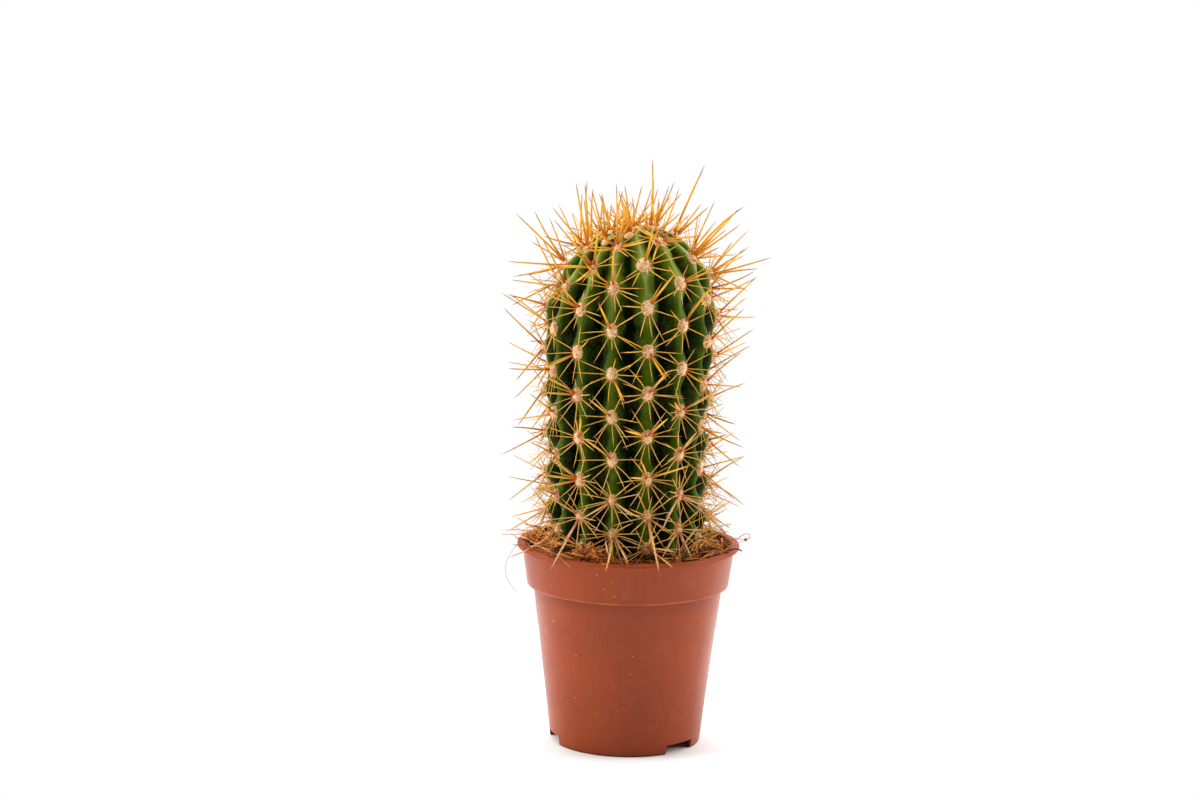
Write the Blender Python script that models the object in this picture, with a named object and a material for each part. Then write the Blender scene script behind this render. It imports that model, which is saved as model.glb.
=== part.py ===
"""A young torch cactus in a small plastic nursery pot, one object for each separate piece.

Lengths are in millimetres up to the moment a mesh is made, and metres after it. The pot's foot
stands on z = 0 and its axis is the Z axis. The front of the plant looks along -Y.
"""

import math
import random
from collections import namedtuple

import bmesh
import bpy
import numpy
from mathutils import Matrix, Vector

MM = 0.001
SEED = 15
GAP = 0.3  # clearance between pieces that rest on each other

# Pot
POT_HEIGHT = 49.7
POT_SIDES = 40
POT_WALL = 0.9
LIP_OUTER_RADIUS = 27.5
LIP_INNER_RADIUS = 25.4
LIP_THICKNESS = 1.0
BAND_BOTTOM = 39.4
BAND_TOP_RADIUS = 26.2
BAND_BOTTOM_RADIUS = 24.9
BODY_TOP_RADIUS = 23.4
FOOT_RADIUS = 18.65
FOOT_RECESS = 2.6
NOTCH_WIDTH = 9.0
NOTCH_ANGLES = (45.8, 165.8, 285.8)  # degrees from the front, turning towards +X
DRAIN_RADIUS = 2.0
DRAIN_COUNT = 6
DRAIN_CIRCLE = 11.0

# Soil
SOIL_LEVEL = 47.0
SOIL_ROUGHNESS = 0.7
SOIL_SIDES = 40

# Stem
RIBS = 15
FIRST_RIB_ANGLE = -11.2  # degrees from the front, turning towards +X
RIB_PITCH = 360.0 / RIBS
CREST_RADIUS = 20.2
SOIL_LINE_RADIUS = 18.4
RIB_DEPTH = 4.6
RIB_TOP_SHARE = 0.3  # part of a rib's pitch taken by its rounded crest
COLUMN_TOP = 102.0
APEX = 128.5
DOME_POWER = 2.5
ROOT_CROWN_BOTTOM = 41.5
ROOT_CROWN_SHOULDER = 43.5
ROOT_CROWN_RADIUS = 13.5
STEM_LEAN = math.radians(-1.24)

# Areoles: the wool pads, in rows along the ribs
AREOLE_SPACING = 10.35
AREOLE_LEVEL = 105.0  # height of the reference areole of the first rib
RIB_SHIFT = 8.0 / 15.0  # part of the spacing that each rib's row stands above the last one's
LOWEST_AREOLE = 51.8
HIGHEST_AREOLE = 125.6
PAD_SIDES = 10
PAD_HALF_WIDTH = 1.5
PAD_HALF_HEIGHT = 1.85
PAD_THICKNESS = 1.35

# Spines
SpineKind = namedtuple("SpineKind", "lengths tilts radius slimming")  # tilts: out of the pad's plane
RADIAL = SpineKind((5.6, 8.2), (14.0, 34.0), 0.55, 0.0)
CENTRAL = SpineKind((9.0, 14.5), (42.0, 78.0), 0.6, 0.13)
CROWN_INNER = SpineKind((7.0, 13.5), (62.0, 80.0), 0.75, 0.0)
CROWN_OUTER = SpineKind((6.0, 11.0), (30.0, 60.0), 0.75, 0.16)
LINK_HEIGHT = 2.1  # how far out the spines of neighbouring pads cross
LINK_OVERSHOOT = 2.4
SPINE_CLEARANCE = 0.15
SPINE_REACH = 33.2  # farthest that a tip stands from the pot's axis
ATTEMPTS = 60

# Crown
CROWN_SIDES = 16
CROWN_RADIUS = 5.4
CROWN_THICKNESS = 2.2
CROWN_INSET = 0.62
CROWN_TIP = (4.5, -2.0, 144.3)


def new_material(name, colour, roughness):
    material = bpy.data.materials.new(name)
    material.use_nodes = True
    shader = material.node_tree.nodes["Principled BSDF"]
    shader.inputs["Base Color"].default_value = (*colour, 1.0)
    shader.inputs["Roughness"].default_value = roughness
    shader.inputs["Metallic"].default_value = 0.0
    return material


def new_object(name, bm, material, parent=None):
    """Make an object from a bmesh in millimetres, and free the bmesh."""
    bmesh.ops.scale(bm, vec=(MM, MM, MM), verts=bm.verts)
    bmesh.ops.recalc_face_normals(bm, faces=bm.faces)
    mesh = bpy.data.meshes.new(name)
    bm.to_mesh(mesh)
    bm.free()
    mesh.materials.append(material)
    item = bpy.data.objects.new(name, mesh)
    bpy.context.scene.collection.objects.link(item)
    item.parent = parent
    return item


def apply_boolean(target, other, operation):
    """Cut or join with an object that stays in the file as a guide."""
    other.display_type = "WIRE"
    other.hide_render = True
    modifier = target.modifiers.new(operation.title(), "BOOLEAN")
    modifier.operation = operation
    modifier.solver = "EXACT"
    modifier.use_self = operation == "UNION"
    modifier.object = other


def around(radius, degrees, z):
    """A point at an angle from the front, turning towards +X."""
    angle = math.radians(degrees)
    return Vector((radius * math.sin(angle), -radius * math.cos(angle), z))


def skin_rings(bm, rings):
    """Join rings of points, the first one lowest, into one closed surface with a face at each end."""
    loops = [[bm.verts.new(point) for point in ring] for ring in rings]
    for low, high in zip(loops, loops[1:]):
        for i in range(len(low)):
            j = (i + 1) % len(low)
            bm.faces.new((low[i], low[j], high[j], high[i]))
    bm.faces.new(loops[0][::-1])
    bm.faces.new(loops[-1])


# ---------------------------------------------------------------- pot

def body_radius(z):
    """Outer radius of the pot's tapered body."""
    return FOOT_RADIUS + (BODY_TOP_RADIUS - FOOT_RADIUS) * z / BAND_BOTTOM


def inner_radius(z):
    """Inner radius of the pot, from its floor to its lip."""
    if z <= BAND_BOTTOM:
        return body_radius(z) - POT_WALL
    share = (z - BAND_BOTTOM) / (POT_HEIGHT - BAND_BOTTOM)
    low = BAND_BOTTOM_RADIUS - POT_WALL
    return low + (LIP_INNER_RADIUS - low) * share


def pot_profile():
    """The wall's closed outline as (radius, z), from the foot's outer edge anticlockwise."""
    floor_top = FOOT_RECESS + POT_WALL
    lip_under = POT_HEIGHT - LIP_THICKNESS
    ledge = BAND_BOTTOM + POT_WALL
    return [
        (body_radius(0.0), 0.0),
        (body_radius(BAND_BOTTOM), BAND_BOTTOM),
        (BAND_BOTTOM_RADIUS, BAND_BOTTOM),
        (BAND_TOP_RADIUS, lip_under),
        (LIP_OUTER_RADIUS, lip_under),
        (LIP_OUTER_RADIUS, POT_HEIGHT),
        (LIP_INNER_RADIUS, POT_HEIGHT),
        (inner_radius(ledge), ledge),
        (inner_radius(BAND_BOTTOM), ledge),
        (inner_radius(floor_top), floor_top),
        (DRAIN_RADIUS, floor_top),
        (DRAIN_RADIUS, FOOT_RECESS),
        (inner_radius(FOOT_RECESS), FOOT_RECESS),
        (inner_radius(0.0), 0.0),
    ]


def pot_cutter(material):
    """Three notches in the foot ring and the outer drain holes, as one guide object."""
    bm = bmesh.new()
    for angle in NOTCH_ANGLES:
        turn = Matrix.Rotation(math.radians(angle), 4, "Z")
        place = Matrix.Translation((0.0, -FOOT_RADIUS, 0.0))
        size = Matrix.Diagonal((NOTCH_WIDTH, 6.0, 2.0 * (FOOT_RECESS - GAP), 1.0))
        bmesh.ops.create_cube(bm, size=1.0, matrix=turn @ place @ size)
    for i in range(DRAIN_COUNT):
        centre = around(DRAIN_CIRCLE, 360.0 * i / DRAIN_COUNT, FOOT_RECESS)
        bmesh.ops.create_cone(
            bm, cap_ends=True, segments=10, radius1=DRAIN_RADIUS, radius2=DRAIN_RADIUS,
            depth=4.0, matrix=Matrix.Translation(centre),
        )
    return new_object("pot_cutter", bm, material)


def build_pot():
    terracotta = new_material("terracotta_plastic", (0.32, 0.075, 0.036), 0.45)
    bm = bmesh.new()
    points = [bm.verts.new((radius, 0.0, z)) for radius, z in pot_profile()]
    edges = [bm.edges.new((a, b)) for a, b in zip(points, points[1:] + points[:1])]
    bmesh.ops.spin(
        bm, geom=points + edges, cent=(0, 0, 0), axis=(0, 0, 1), angle=2.0 * math.pi,
        steps=POT_SIDES, use_merge=True,
    )
    pot = new_object("pot", bm, terracotta)
    apply_boolean(pot, pot_cutter(terracotta), "DIFFERENCE")
    return pot


# ---------------------------------------------------------------- stem

def crest_radius(z):
    """Distance of a rib's crest from the stem's axis."""
    if z > COLUMN_TOP:
        share = min((z - COLUMN_TOP) / (APEX - COLUMN_TOP), 1.0)
        return CREST_RADIUS * (1.0 - share ** DOME_POWER) ** (1.0 / DOME_POWER)
    if z > SOIL_LEVEL:
        share = min((z - SOIL_LEVEL) / 16.0, 1.0)
        return SOIL_LINE_RADIUS + (CREST_RADIUS - SOIL_LINE_RADIUS) * math.sin(share * math.pi / 2.0)
    share = (z - ROOT_CROWN_BOTTOM) / (SOIL_LEVEL - ROOT_CROWN_BOTTOM)
    return ROOT_CROWN_RADIUS + (SOIL_LINE_RADIUS - ROOT_CROWN_RADIUS) * math.sqrt(max(share, 0.0))


def furrow_radius(z):
    """Distance of a furrow's floor from the axis: the furrows fade out at both ends."""
    crest = crest_radius(z)
    above_soil = min(max((z - SOIL_LEVEL + 2.0) / 8.0, 0.0), 1.0)
    return crest - RIB_DEPTH * above_soil * min(crest / CREST_RADIUS, 1.0) ** 1.5


def stem_ring(z):
    """One level of the ribbed stem: two points on each crest and two in each furrow."""
    half_crest = RIB_PITCH * RIB_TOP_SHARE / 2.0
    half_furrow = RIB_PITCH * (1.0 - RIB_TOP_SHARE) / 4.0
    ring = []
    for k in range(RIBS):
        crest_angle = FIRST_RIB_ANGLE + RIB_PITCH * k
        ring.append(around(crest_radius(z), crest_angle - half_crest, z))
        ring.append(around(crest_radius(z), crest_angle + half_crest, z))
        for side in (-1.0, 1.0):
            furrow_angle = crest_angle + RIB_PITCH / 2.0 + side * half_furrow / 2.0
            ring.append(around(furrow_radius(z), furrow_angle, z))
    return ring


def build_stem(plant):
    skin = new_material("green_skin", (0.045, 0.09, 0.02), 0.5)
    heights = [ROOT_CROWN_BOTTOM, ROOT_CROWN_SHOULDER, SOIL_LEVEL, 51.0, 56.0, 63.0]
    heights += [63.0 + (COLUMN_TOP - 63.0) * i / 4.0 for i in range(1, 5)]
    dome = APEX - COLUMN_TOP
    heights += [COLUMN_TOP + dome * share for share in (0.25, 0.45, 0.62, 0.76, 0.87, 0.95, 0.99)]
    bm = bmesh.new()
    skin_rings(bm, [stem_ring(z) for z in heights])
    return new_object("stem", bm, skin, plant)


# ---------------------------------------------------------------- soil

def soil_height(x, y):
    """Lumpy top of the soil: a few waves of fixed direction, higher at the front left."""
    waves = math.sin(0.36 * x + 0.3) * math.cos(0.33 * y - 0.8)
    waves += 0.5 * math.sin(0.45 * y + 0.25 * x + 1.7)
    return SOIL_LEVEL + SOIL_ROUGHNESS * waves - 0.02 * x


def build_soil():
    peat = new_material("peat", (0.012, 0.007, 0.004), 0.95)
    angles = [360.0 * i / SOIL_SIDES for i in range(SOIL_SIDES)]
    bottom = FOOT_RECESS + POT_WALL + GAP
    ledge = BAND_BOTTOM + POT_WALL + GAP
    rings = []
    for z, wall_z in ((bottom, bottom), (ledge, BAND_BOTTOM)):
        rings.append([around(inner_radius(wall_z) - 2.0 * GAP, a, z) for a in angles])
    wall = inner_radius(SOIL_LEVEL) - 3.0 * GAP
    edge = SOIL_LINE_RADIUS + 3.0 * GAP
    for radius in (wall, (wall + edge) / 2.0, edge):
        flat = [around(radius, a, 0.0) for a in angles]
        rings.append([Vector((p.x, p.y, soil_height(p.x, p.y))) for p in flat])
    # The hollow that the root crown stands in follows it with a clearance.
    for z in (ROOT_CROWN_SHOULDER, ROOT_CROWN_BOTTOM):
        rings.append([around(crest_radius(z) + 2.0 * GAP, a, z - 2.0 * GAP) for a in angles])
    bm = bmesh.new()
    skin_rings(bm, rings)
    return new_object("soil", bm, peat)


def build_clump(name, angle, radius, size, material):
    """A loose lump of coir: a squashed, roughened block that rests on the soil."""
    noise = random.Random(name)
    spot = around(radius, angle, 0.0)
    bm = bmesh.new()
    bmesh.ops.create_icosphere(bm, subdivisions=2, radius=0.5)
    for vert in bm.verts:
        vert.co *= noise.uniform(0.88, 1.1)
    bmesh.ops.scale(bm, vec=size, verts=bm.verts)
    bmesh.ops.rotate(bm, cent=(0, 0, 0), matrix=Matrix.Rotation(math.radians(angle), 3, "Z"), verts=bm.verts)
    rise = max(soil_height(spot.x + v.co.x, spot.y + v.co.y) - v.co.z for v in bm.verts)
    bmesh.ops.translate(bm, vec=(spot.x, spot.y, rise + GAP), verts=bm.verts)
    return new_object(name, bm, material)


def build_fibre(name, points, radius, material):
    """A loose curled fibre: a thin round strand along a smooth curve."""
    curve = bpy.data.curves.new(name, "CURVE")
    curve.dimensions = "3D"
    curve.bevel_depth = radius * MM
    curve.bevel_resolution = 1
    curve.use_fill_caps = True
    spline = curve.splines.new("POLY")
    spline.points.add(len(points) - 1)
    for place, point in zip(spline.points, points):
        place.co = (*(Vector(point) * MM), 1.0)
    curve.materials.append(material)
    item = bpy.data.objects.new(name, curve)
    bpy.context.scene.collection.objects.link(item)
    return item


def fibre_points(angle, radius, span, rise):
    """Points of a strand that lies along the rim inside the pot and arches up in its middle."""
    count = 9
    points = []
    for i in range(count):
        share = i / (count - 1.0)
        spot = around(radius, angle + span * (share - 0.5), 0.0)
        arch = rise * math.sin(math.pi * share)
        points.append(Vector((spot.x, spot.y, soil_height(spot.x, spot.y) + 3.0 * GAP + arch)))
    return points


def build_litter():
    coir = new_material("coir", (0.22, 0.1, 0.04), 0.9)
    build_clump("coir_clump_01", -27.0, 22.3, (6.4, 3.4, 2.6), coir)
    build_clump("coir_clump_02", -58.0, 23.0, (4.0, 2.4, 1.6), coir)
    build_clump("coir_clump_03", 20.0, 22.9, (4.6, 2.4, 1.5), coir)
    build_clump("coir_clump_04", 150.0, 22.9, (4.4, 2.4, 1.6), coir)
    build_fibre("coir_fibre_01", fibre_points(52.0, 23.3, 34.0, 1.6), 0.3, coir)
    build_fibre("coir_fibre_02", fibre_points(92.0, 23.2, 30.0, 2.2), 0.3, coir)
    build_fibre("coir_fibre_03", fibre_points(-110.0, 23.2, 36.0, 1.8), 0.3, coir)


# ---------------------------------------------------------------- areoles and spines

def areole_levels(rib):
    """Heights of one rib's wool pads, from the top one down."""
    shift = (RIB_SHIFT * rib) % 1.0
    levels = []
    for step in range(-4, 9):
        count = step - shift
        z = AREOLE_LEVEL - AREOLE_SPACING * count
        if count > 3.0:
            z += 0.6 * (count - 3.0) ** 2
        if count < 0.0:
            z -= 0.25 * count ** 2
        if LOWEST_AREOLE <= z <= HIGHEST_AREOLE:
            levels.append(z)
    return levels


def areole_frame(rib, z):
    """Axes across, along and out of a rib's crest, at a clearance in front of it."""
    angle = FIRST_RIB_ANGLE + RIB_PITCH * rib
    step = 0.2
    along = around(crest_radius(z + step), angle, z + step) - around(crest_radius(z - step), angle, z - step)
    along.normalize()
    across = around(1.0, angle + 90.0, 0.0)
    out = across.cross(along)
    place = around(crest_radius(z), angle, z) + out * GAP
    frame = Matrix((across, along, out)).transposed().to_4x4()
    frame.translation = place
    return frame


def add_pad(bm, frame, sides, half_width, half_height, thickness, inset=0.0):
    """A low wool pad. Returns its side faces, the lowest first, and the wedges of its top."""
    start = Matrix.Rotation(-math.pi / 2.0 - math.pi / sides, 4, "Z")
    made = bmesh.ops.create_circle(bm, cap_ends=True, segments=sides, radius=1.0, matrix=start)
    base = made["verts"][0].link_faces[0]
    wall = bmesh.ops.extrude_face_region(bm, geom=[base])
    top = next(f for f in wall["geom"] if isinstance(f, bmesh.types.BMFace))
    for vert in top.verts:
        vert.co = Vector((vert.co.x * 0.94, vert.co.y * 0.94, 0.42))
    if inset:
        bmesh.ops.inset_region(bm, faces=[top], thickness=inset, depth=0.0, use_even_offset=False)
        for vert in top.verts:
            vert.co.z = 0.85
    fan = bmesh.ops.poke(bm, faces=[top])
    fan["verts"][0].co.z = 1.0
    pad = {v for face in fan["faces"] for v in face.verts}
    for _ in range(2):
        pad |= {v for vert in pad for edge in vert.link_edges for v in edge.verts}
    faces = {face for vert in pad for face in vert.link_faces}
    low = [f for f in faces if len(f.verts) == 4 and f.calc_center_median().z < 0.4]
    low.sort(key=lambda f: (math.atan2(*f.calc_center_median().xy) - math.pi + 1e-3) % (2.0 * math.pi))
    wedges = sorted(fan["faces"], key=lambda f: math.atan2(*f.calc_center_median().xy) % (2.0 * math.pi))
    size = Matrix.Diagonal((half_width, half_height, thickness, 1.0))
    bmesh.ops.transform(bm, matrix=frame @ size, verts=list(pad))
    return low, wedges


def grow_spine(bm, face, tip, slimming=0.0):
    """Draw a face out into a spine, from a smaller face inside it where it has to be slimmer."""
    if slimming:
        bmesh.ops.inset_individual(bm, faces=[face], thickness=slimming)
    poked = bmesh.ops.poke(bm, faces=[face])
    poked["verts"][0].co = tip


class SpineField:
    """The spines and pads set so far, used to keep those of different rows apart."""

    def __init__(self):
        self.rows = numpy.empty(0, int)
        self.starts = numpy.empty((0, 3))
        self.ends = numpy.empty((0, 3))
        self.radii = numpy.empty(0)

    def add(self, row, start, end, radius):
        self.rows = numpy.append(self.rows, row)
        self.starts = numpy.vstack((self.starts, start))
        self.ends = numpy.vstack((self.ends, end))
        self.radii = numpy.append(self.radii, radius)

    def is_clear(self, row, start, end, radius):
        """Whether a new tapered spine keeps its clearance to the other rows' ones."""
        others = self.rows != row
        if not others.any():
            return True
        starts = self.starts[others]
        first = numpy.array(end) - numpy.array(start)
        second = self.ends[others] - starts
        between = numpy.array(start) - starts
        a = first @ first
        b = second @ first
        c = between @ first
        e = (second * second).sum(axis=1)
        f = (second * between).sum(axis=1)
        s = numpy.clip((b * f - c * e) / numpy.maximum(a * e - b * b, 1e-9), 0.0, 1.0)
        t = numpy.clip((b * s + f) / e, 0.0, 1.0)
        s = numpy.clip((b * t - c) / a, 0.0, 1.0)
        apart = between + s[:, None] * first - t[:, None] * second
        room = numpy.linalg.norm(apart, axis=1) - radius * (1.0 - s) - self.radii[others] * (1.0 - t)
        return bool(room.min() > SPINE_CLEARANCE)


def leaned():
    """The plant's lean about the soil line, in millimetres."""
    pivot = Matrix.Translation((0.0, 0.0, SOIL_LEVEL))
    return pivot @ Matrix.Rotation(STEM_LEAN, 4, "Y") @ pivot.inverted()


def clears_pot(start, end):
    """Whether a spine keeps above the soil and the pot's lip, and within the plant's reach."""
    start = leaned() @ start
    end = leaned() @ end
    if math.hypot(end.x, end.y) > SPINE_REACH:
        return False
    for share in (0.4, 0.7, 1.0):
        point = start.lerp(end, share)
        radius = math.hypot(point.x, point.y)
        floor = POT_HEIGHT + 1.6 if radius > LIP_INNER_RADIUS - 5.5 else SOIL_LEVEL + 2.2
        if radius < LIP_OUTER_RADIUS + 1.0 and point.z < floor:
            return False
    return True


def spine_tip(frame, start, degrees, tilt, length):
    """Tip of a spine: degrees turns from straight up the rib, tilt lifts it out of the pad's plane."""
    turn = math.radians(degrees)
    lift = math.radians(tilt)
    flat = math.cos(lift)
    way = Vector((math.sin(turn) * flat, math.cos(turn) * flat, math.sin(lift)))
    return start + (frame.to_3x3() @ way) * length


def grow_free_spine(bm, field, row, face, frame, degrees, kind, noise):
    """Try directions near the wanted one until the spine stands clear of its neighbours."""
    start = face.calc_center_median()
    for attempt in range(ATTEMPTS):
        spread = 9.0 + 0.4 * attempt
        shrink = 1.0 - 0.008 * attempt
        turn = degrees + noise.uniform(-spread, spread)
        length = noise.uniform(*kind.lengths) * shrink
        tip = spine_tip(frame, start, turn, noise.uniform(*kind.tilts), length)
        if clears_pot(start, tip) and field.is_clear(row, start, tip, kind.radius):
            grow_spine(bm, face, tip, kind.slimming)
            field.add(row, start, tip, kind.radius)
            return


def grow_links(clusters, field, row):
    """Cross the lowest spine of each pad with the highest one of the pad below it."""
    for upper, lower in zip(clusters, clusters[1:]):
        low_face = upper["sides"][0]
        high_face = lower["sides"][PAD_SIDES // 2]
        out = (upper["frame"].col[2].to_3d() + lower["frame"].col[2].to_3d()).normalized()
        middle = (upper["frame"].translation + lower["frame"].translation) / 2.0 + out * LINK_HEIGHT
        for cluster, face in ((upper, low_face), (lower, high_face)):
            start = face.calc_center_median()
            tip = middle + (middle - start).normalized() * LINK_OVERSHOOT
            cluster["used"].add(face)
            grow_spine(cluster["bm"], face, tip)
            field.add(row, start, tip, RADIAL.radius)


def plan_row(rib, meshes):
    """Lay out one rib's pads, in turn in the row's mesh and in the mesh that is joined to it."""
    clusters = []
    for i, z in enumerate(areole_levels(rib)):
        bm = meshes[i % 2]
        frame = areole_frame(rib, z)
        sides, wedges = add_pad(bm, frame, PAD_SIDES, PAD_HALF_WIDTH, PAD_HALF_HEIGHT, PAD_THICKNESS)
        clusters.append({"bm": bm, "frame": frame, "sides": sides, "wedges": wedges, "used": set()})
    return clusters


def grow_centrals(rib, cluster, field, noise):
    """One to three long spines from the upper part of the pad."""
    slots = noise.sample((0, 2, 4, 6, 8), noise.choice((1, 2, 2, 3)))
    for slot in slots:
        degrees = 360.0 * (slot + 0.5) / PAD_SIDES
        wedge = cluster["wedges"][slot]
        grow_free_spine(cluster["bm"], field, rib, wedge, cluster["frame"], degrees, CENTRAL, noise)


def grow_radials(rib, cluster, field, noise):
    """The ring of shorter spines that spread flat over the furrows."""
    for slot, face in enumerate(cluster["sides"]):
        if face in cluster["used"]:
            continue
        degrees = 180.0 + 360.0 * slot / PAD_SIDES
        grow_free_spine(cluster["bm"], field, rib, face, cluster["frame"], degrees, RADIAL, noise)


def build_spine_rows(plant, field):
    spine = new_material("spines_and_wool", (0.62, 0.33, 0.12), 0.5)
    noise = random.Random(SEED)
    meshes = [(bmesh.new(), bmesh.new()) for _ in range(RIBS)]
    rows = [plan_row(rib, meshes[rib]) for rib in range(RIBS)]
    for rib, clusters in enumerate(rows):
        for cluster in clusters:
            centre = cluster["frame"].translation
            field.add(rib, centre, centre + cluster["frame"].col[2].to_3d() * 1.5, PAD_HALF_HEIGHT)
    for rib, clusters in enumerate(rows):
        grow_links(clusters, field, rib)
    for grow in (grow_centrals, grow_radials):
        for rib, clusters in enumerate(rows):
            for cluster in clusters:
                grow(rib, cluster, field, noise)
    for rib, (own, other) in enumerate(meshes):
        name = f"spines_rib_{rib + 1:02d}"
        row = new_object(name, own, spine, plant)
        apply_boolean(row, new_object(name + "_joined", other, spine, plant), "UNION")


def build_crown(plant, field):
    """Wool and young spines at the growing tip."""
    wool = new_material("crown_wool", (0.66, 0.42, 0.2), 0.8)
    noise = random.Random(SEED + 1)
    bm = bmesh.new()
    frame = Matrix.Translation((0.0, 0.0, APEX + GAP))
    sides, wedges = add_pad(
        bm, frame, CROWN_SIDES, CROWN_RADIUS, CROWN_RADIUS, CROWN_THICKNESS, CROWN_INSET,
    )
    top = wedges[CROWN_SIDES // 4]
    start = top.calc_center_median()
    tip = Vector(CROWN_TIP)
    grow_spine(bm, top, tip)
    field.add(RIBS, start, tip, CROWN_INNER.radius)
    for i, face in enumerate(wedges):
        if i % 2 and face is not top:
            degrees = 360.0 * (i + 0.5) / CROWN_SIDES
            grow_free_spine(bm, field, RIBS, face, frame, degrees, CROWN_INNER, noise)
    for i, face in enumerate(sides):
        degrees = 180.0 + 360.0 * i / CROWN_SIDES
        grow_free_spine(bm, field, RIBS, face, frame, degrees, CROWN_OUTER, noise)
    return new_object("crown_tuft", bm, wool, plant)


def clear_scene():
    for item in list(bpy.data.objects):
        bpy.data.objects.remove(item, do_unlink=True)


def new_plant_axis():
    """An empty at the soil line that carries the leaning plant."""
    plant = bpy.data.objects.new("plant_axis", None)
    bpy.context.scene.collection.objects.link(plant)
    lean = leaned()
    lean.translation = lean.translation * MM
    plant.matrix_world = lean
    return plant


def main():
    clear_scene()
    build_pot()
    build_soil()
    plant = new_plant_axis()
    build_stem(plant)
    field = SpineField()
    build_crown(plant, field)
    build_spine_rows(plant, field)
    build_litter()


main()
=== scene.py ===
"""Looks of a potted torch cactus: pot, peat, ribbed stem, wool, spines and loose coir.

Lengths are in metres. Angles round the pot's axis are in degrees from the front, which is -Y,
turning towards +X. The plant is modelled upright, and each of its pieces is then leaned.
"""

import math
import random
from collections import namedtuple

import bpy
import numpy as np
from bpy.props import FloatProperty, FloatVectorProperty, IntProperty, PointerProperty
from bpy.types import NodeSocket, Operator, Panel, PropertyGroup
from mathutils import Matrix, Vector, noise


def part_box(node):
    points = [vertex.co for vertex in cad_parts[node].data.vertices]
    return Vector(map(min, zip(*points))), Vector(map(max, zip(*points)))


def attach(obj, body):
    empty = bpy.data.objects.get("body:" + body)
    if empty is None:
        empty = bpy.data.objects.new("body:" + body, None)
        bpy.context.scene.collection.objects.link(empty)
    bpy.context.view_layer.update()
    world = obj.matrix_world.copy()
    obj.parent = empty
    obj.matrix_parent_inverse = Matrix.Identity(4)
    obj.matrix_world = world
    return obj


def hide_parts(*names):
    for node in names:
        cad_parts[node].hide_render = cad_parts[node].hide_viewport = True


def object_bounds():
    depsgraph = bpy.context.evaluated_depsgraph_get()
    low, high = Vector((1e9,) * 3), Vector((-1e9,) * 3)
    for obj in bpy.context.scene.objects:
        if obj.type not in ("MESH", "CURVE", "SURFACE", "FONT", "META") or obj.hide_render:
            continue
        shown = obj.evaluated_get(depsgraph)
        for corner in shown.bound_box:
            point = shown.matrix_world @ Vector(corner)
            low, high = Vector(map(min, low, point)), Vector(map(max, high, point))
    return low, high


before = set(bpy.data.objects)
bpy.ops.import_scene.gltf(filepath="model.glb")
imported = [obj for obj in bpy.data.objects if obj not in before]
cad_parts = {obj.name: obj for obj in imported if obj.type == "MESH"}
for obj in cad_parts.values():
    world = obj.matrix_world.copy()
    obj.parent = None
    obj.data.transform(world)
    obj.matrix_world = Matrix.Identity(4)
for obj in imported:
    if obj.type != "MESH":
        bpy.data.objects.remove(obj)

bl_info = {
    "name": "Potted torch cactus",
    "version": (1, 0, 0),
    "blender": (4, 5, 0),
    "location": "View3D > Sidebar > Torch cactus",
    "description": "Builds the finished surfaces of a potted torch cactus on its packed frame",
    "category": "Add Mesh",
}

MM = 0.001
CAD_LOW, CAD_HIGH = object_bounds()
POT_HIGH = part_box("pot")[1]
GAP = 0.3 * MM

# Pot
POT_HEIGHT = POT_HIGH.z
LIP_RADIUS = POT_HIGH.x
LIP_INNER_RADIUS = LIP_RADIUS - 2.1 * MM
LIP_THICKNESS = 1.0 * MM
WALL = 0.9 * MM
BAND_BOTTOM = 39.4 * MM
BAND_TOP_RADIUS = 26.2 * MM
BAND_BOTTOM_RADIUS = 24.9 * MM
BODY_TOP_RADIUS = 23.4 * MM
FOOT_RADIUS = 18.65 * MM
FOOT_RECESS = 2.6 * MM
NOTCH_WIDTH = 9.0 * MM
NOTCH_HEIGHT = FOOT_RECESS - GAP
NOTCH_ANGLES = (45.8, 165.8, 285.8)
DRAIN_RADIUS = 2.0 * MM
DRAIN_CIRCLE = 11.0 * MM
DRAIN_COUNT = 6

# Peat
PEAT_LEVEL = 47.0 * MM
PEAT_ROUGHNESS = 0.7 * MM
FIBRE_REACH = 31.5 * MM

# Stem
RIBS = 15
RIB_PITCH = 360.0 / RIBS
FIRST_RIB_ANGLE = -11.2
RIB_DEPTH = 4.6 * MM
CREST_RADIUS = 20.2 * MM
PEAT_LINE_RADIUS = 18.4 * MM
COLUMN_TOP = 102.0 * MM
APEX = 128.5 * MM
DOME_POWER = 2.5
ROOT_BOTTOM = 41.5 * MM
ROOT_RADIUS = 13.5 * MM
FLARE_HEIGHT = 16.0 * MM
FURROW_SINK = 2.0 * MM
FURROW_RUN = 8.0 * MM
FURROW_FADE = 1.6
FLANK_POWER = 2.3
SKIN_WOBBLE = 0.22 * MM
SKIN_PLEAT = 0.05 * MM
LEAN = math.radians(-1.24)

# Areoles: the wool pads that the spines grow from
AREOLE_SPACING = 10.35 * MM
PAD_THICKNESS = 1.05 * MM
CREST_ROUNDING = 6.5 * MM
AREOLE_LEVEL = 105.0 * MM
RIB_SHIFT = 8.0 / 15.0
LOWEST_AREOLE = 48.2 * MM
HIGHEST_AREOLE = 125.6 * MM

# How far spines reach, and how clear of the plant and the pot they stay
SPINE_REACH = 33.4 * MM
SPINE_TOP = CAD_HIGH.z + 0.5 * MM
SKIN_CLEARANCE = 0.15 * MM
PEAT_CLEARANCE = 0.5 * MM
LIP_CLEARANCE = 0.4 * MM
OUTSIDE_LIP = LIP_RADIUS + 0.6 * MM

# How many steps a turned piece has round the pot's axis
POT_STEPS = 144
PEAT_STEPS = 300
STEM_STEPS = 330

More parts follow.
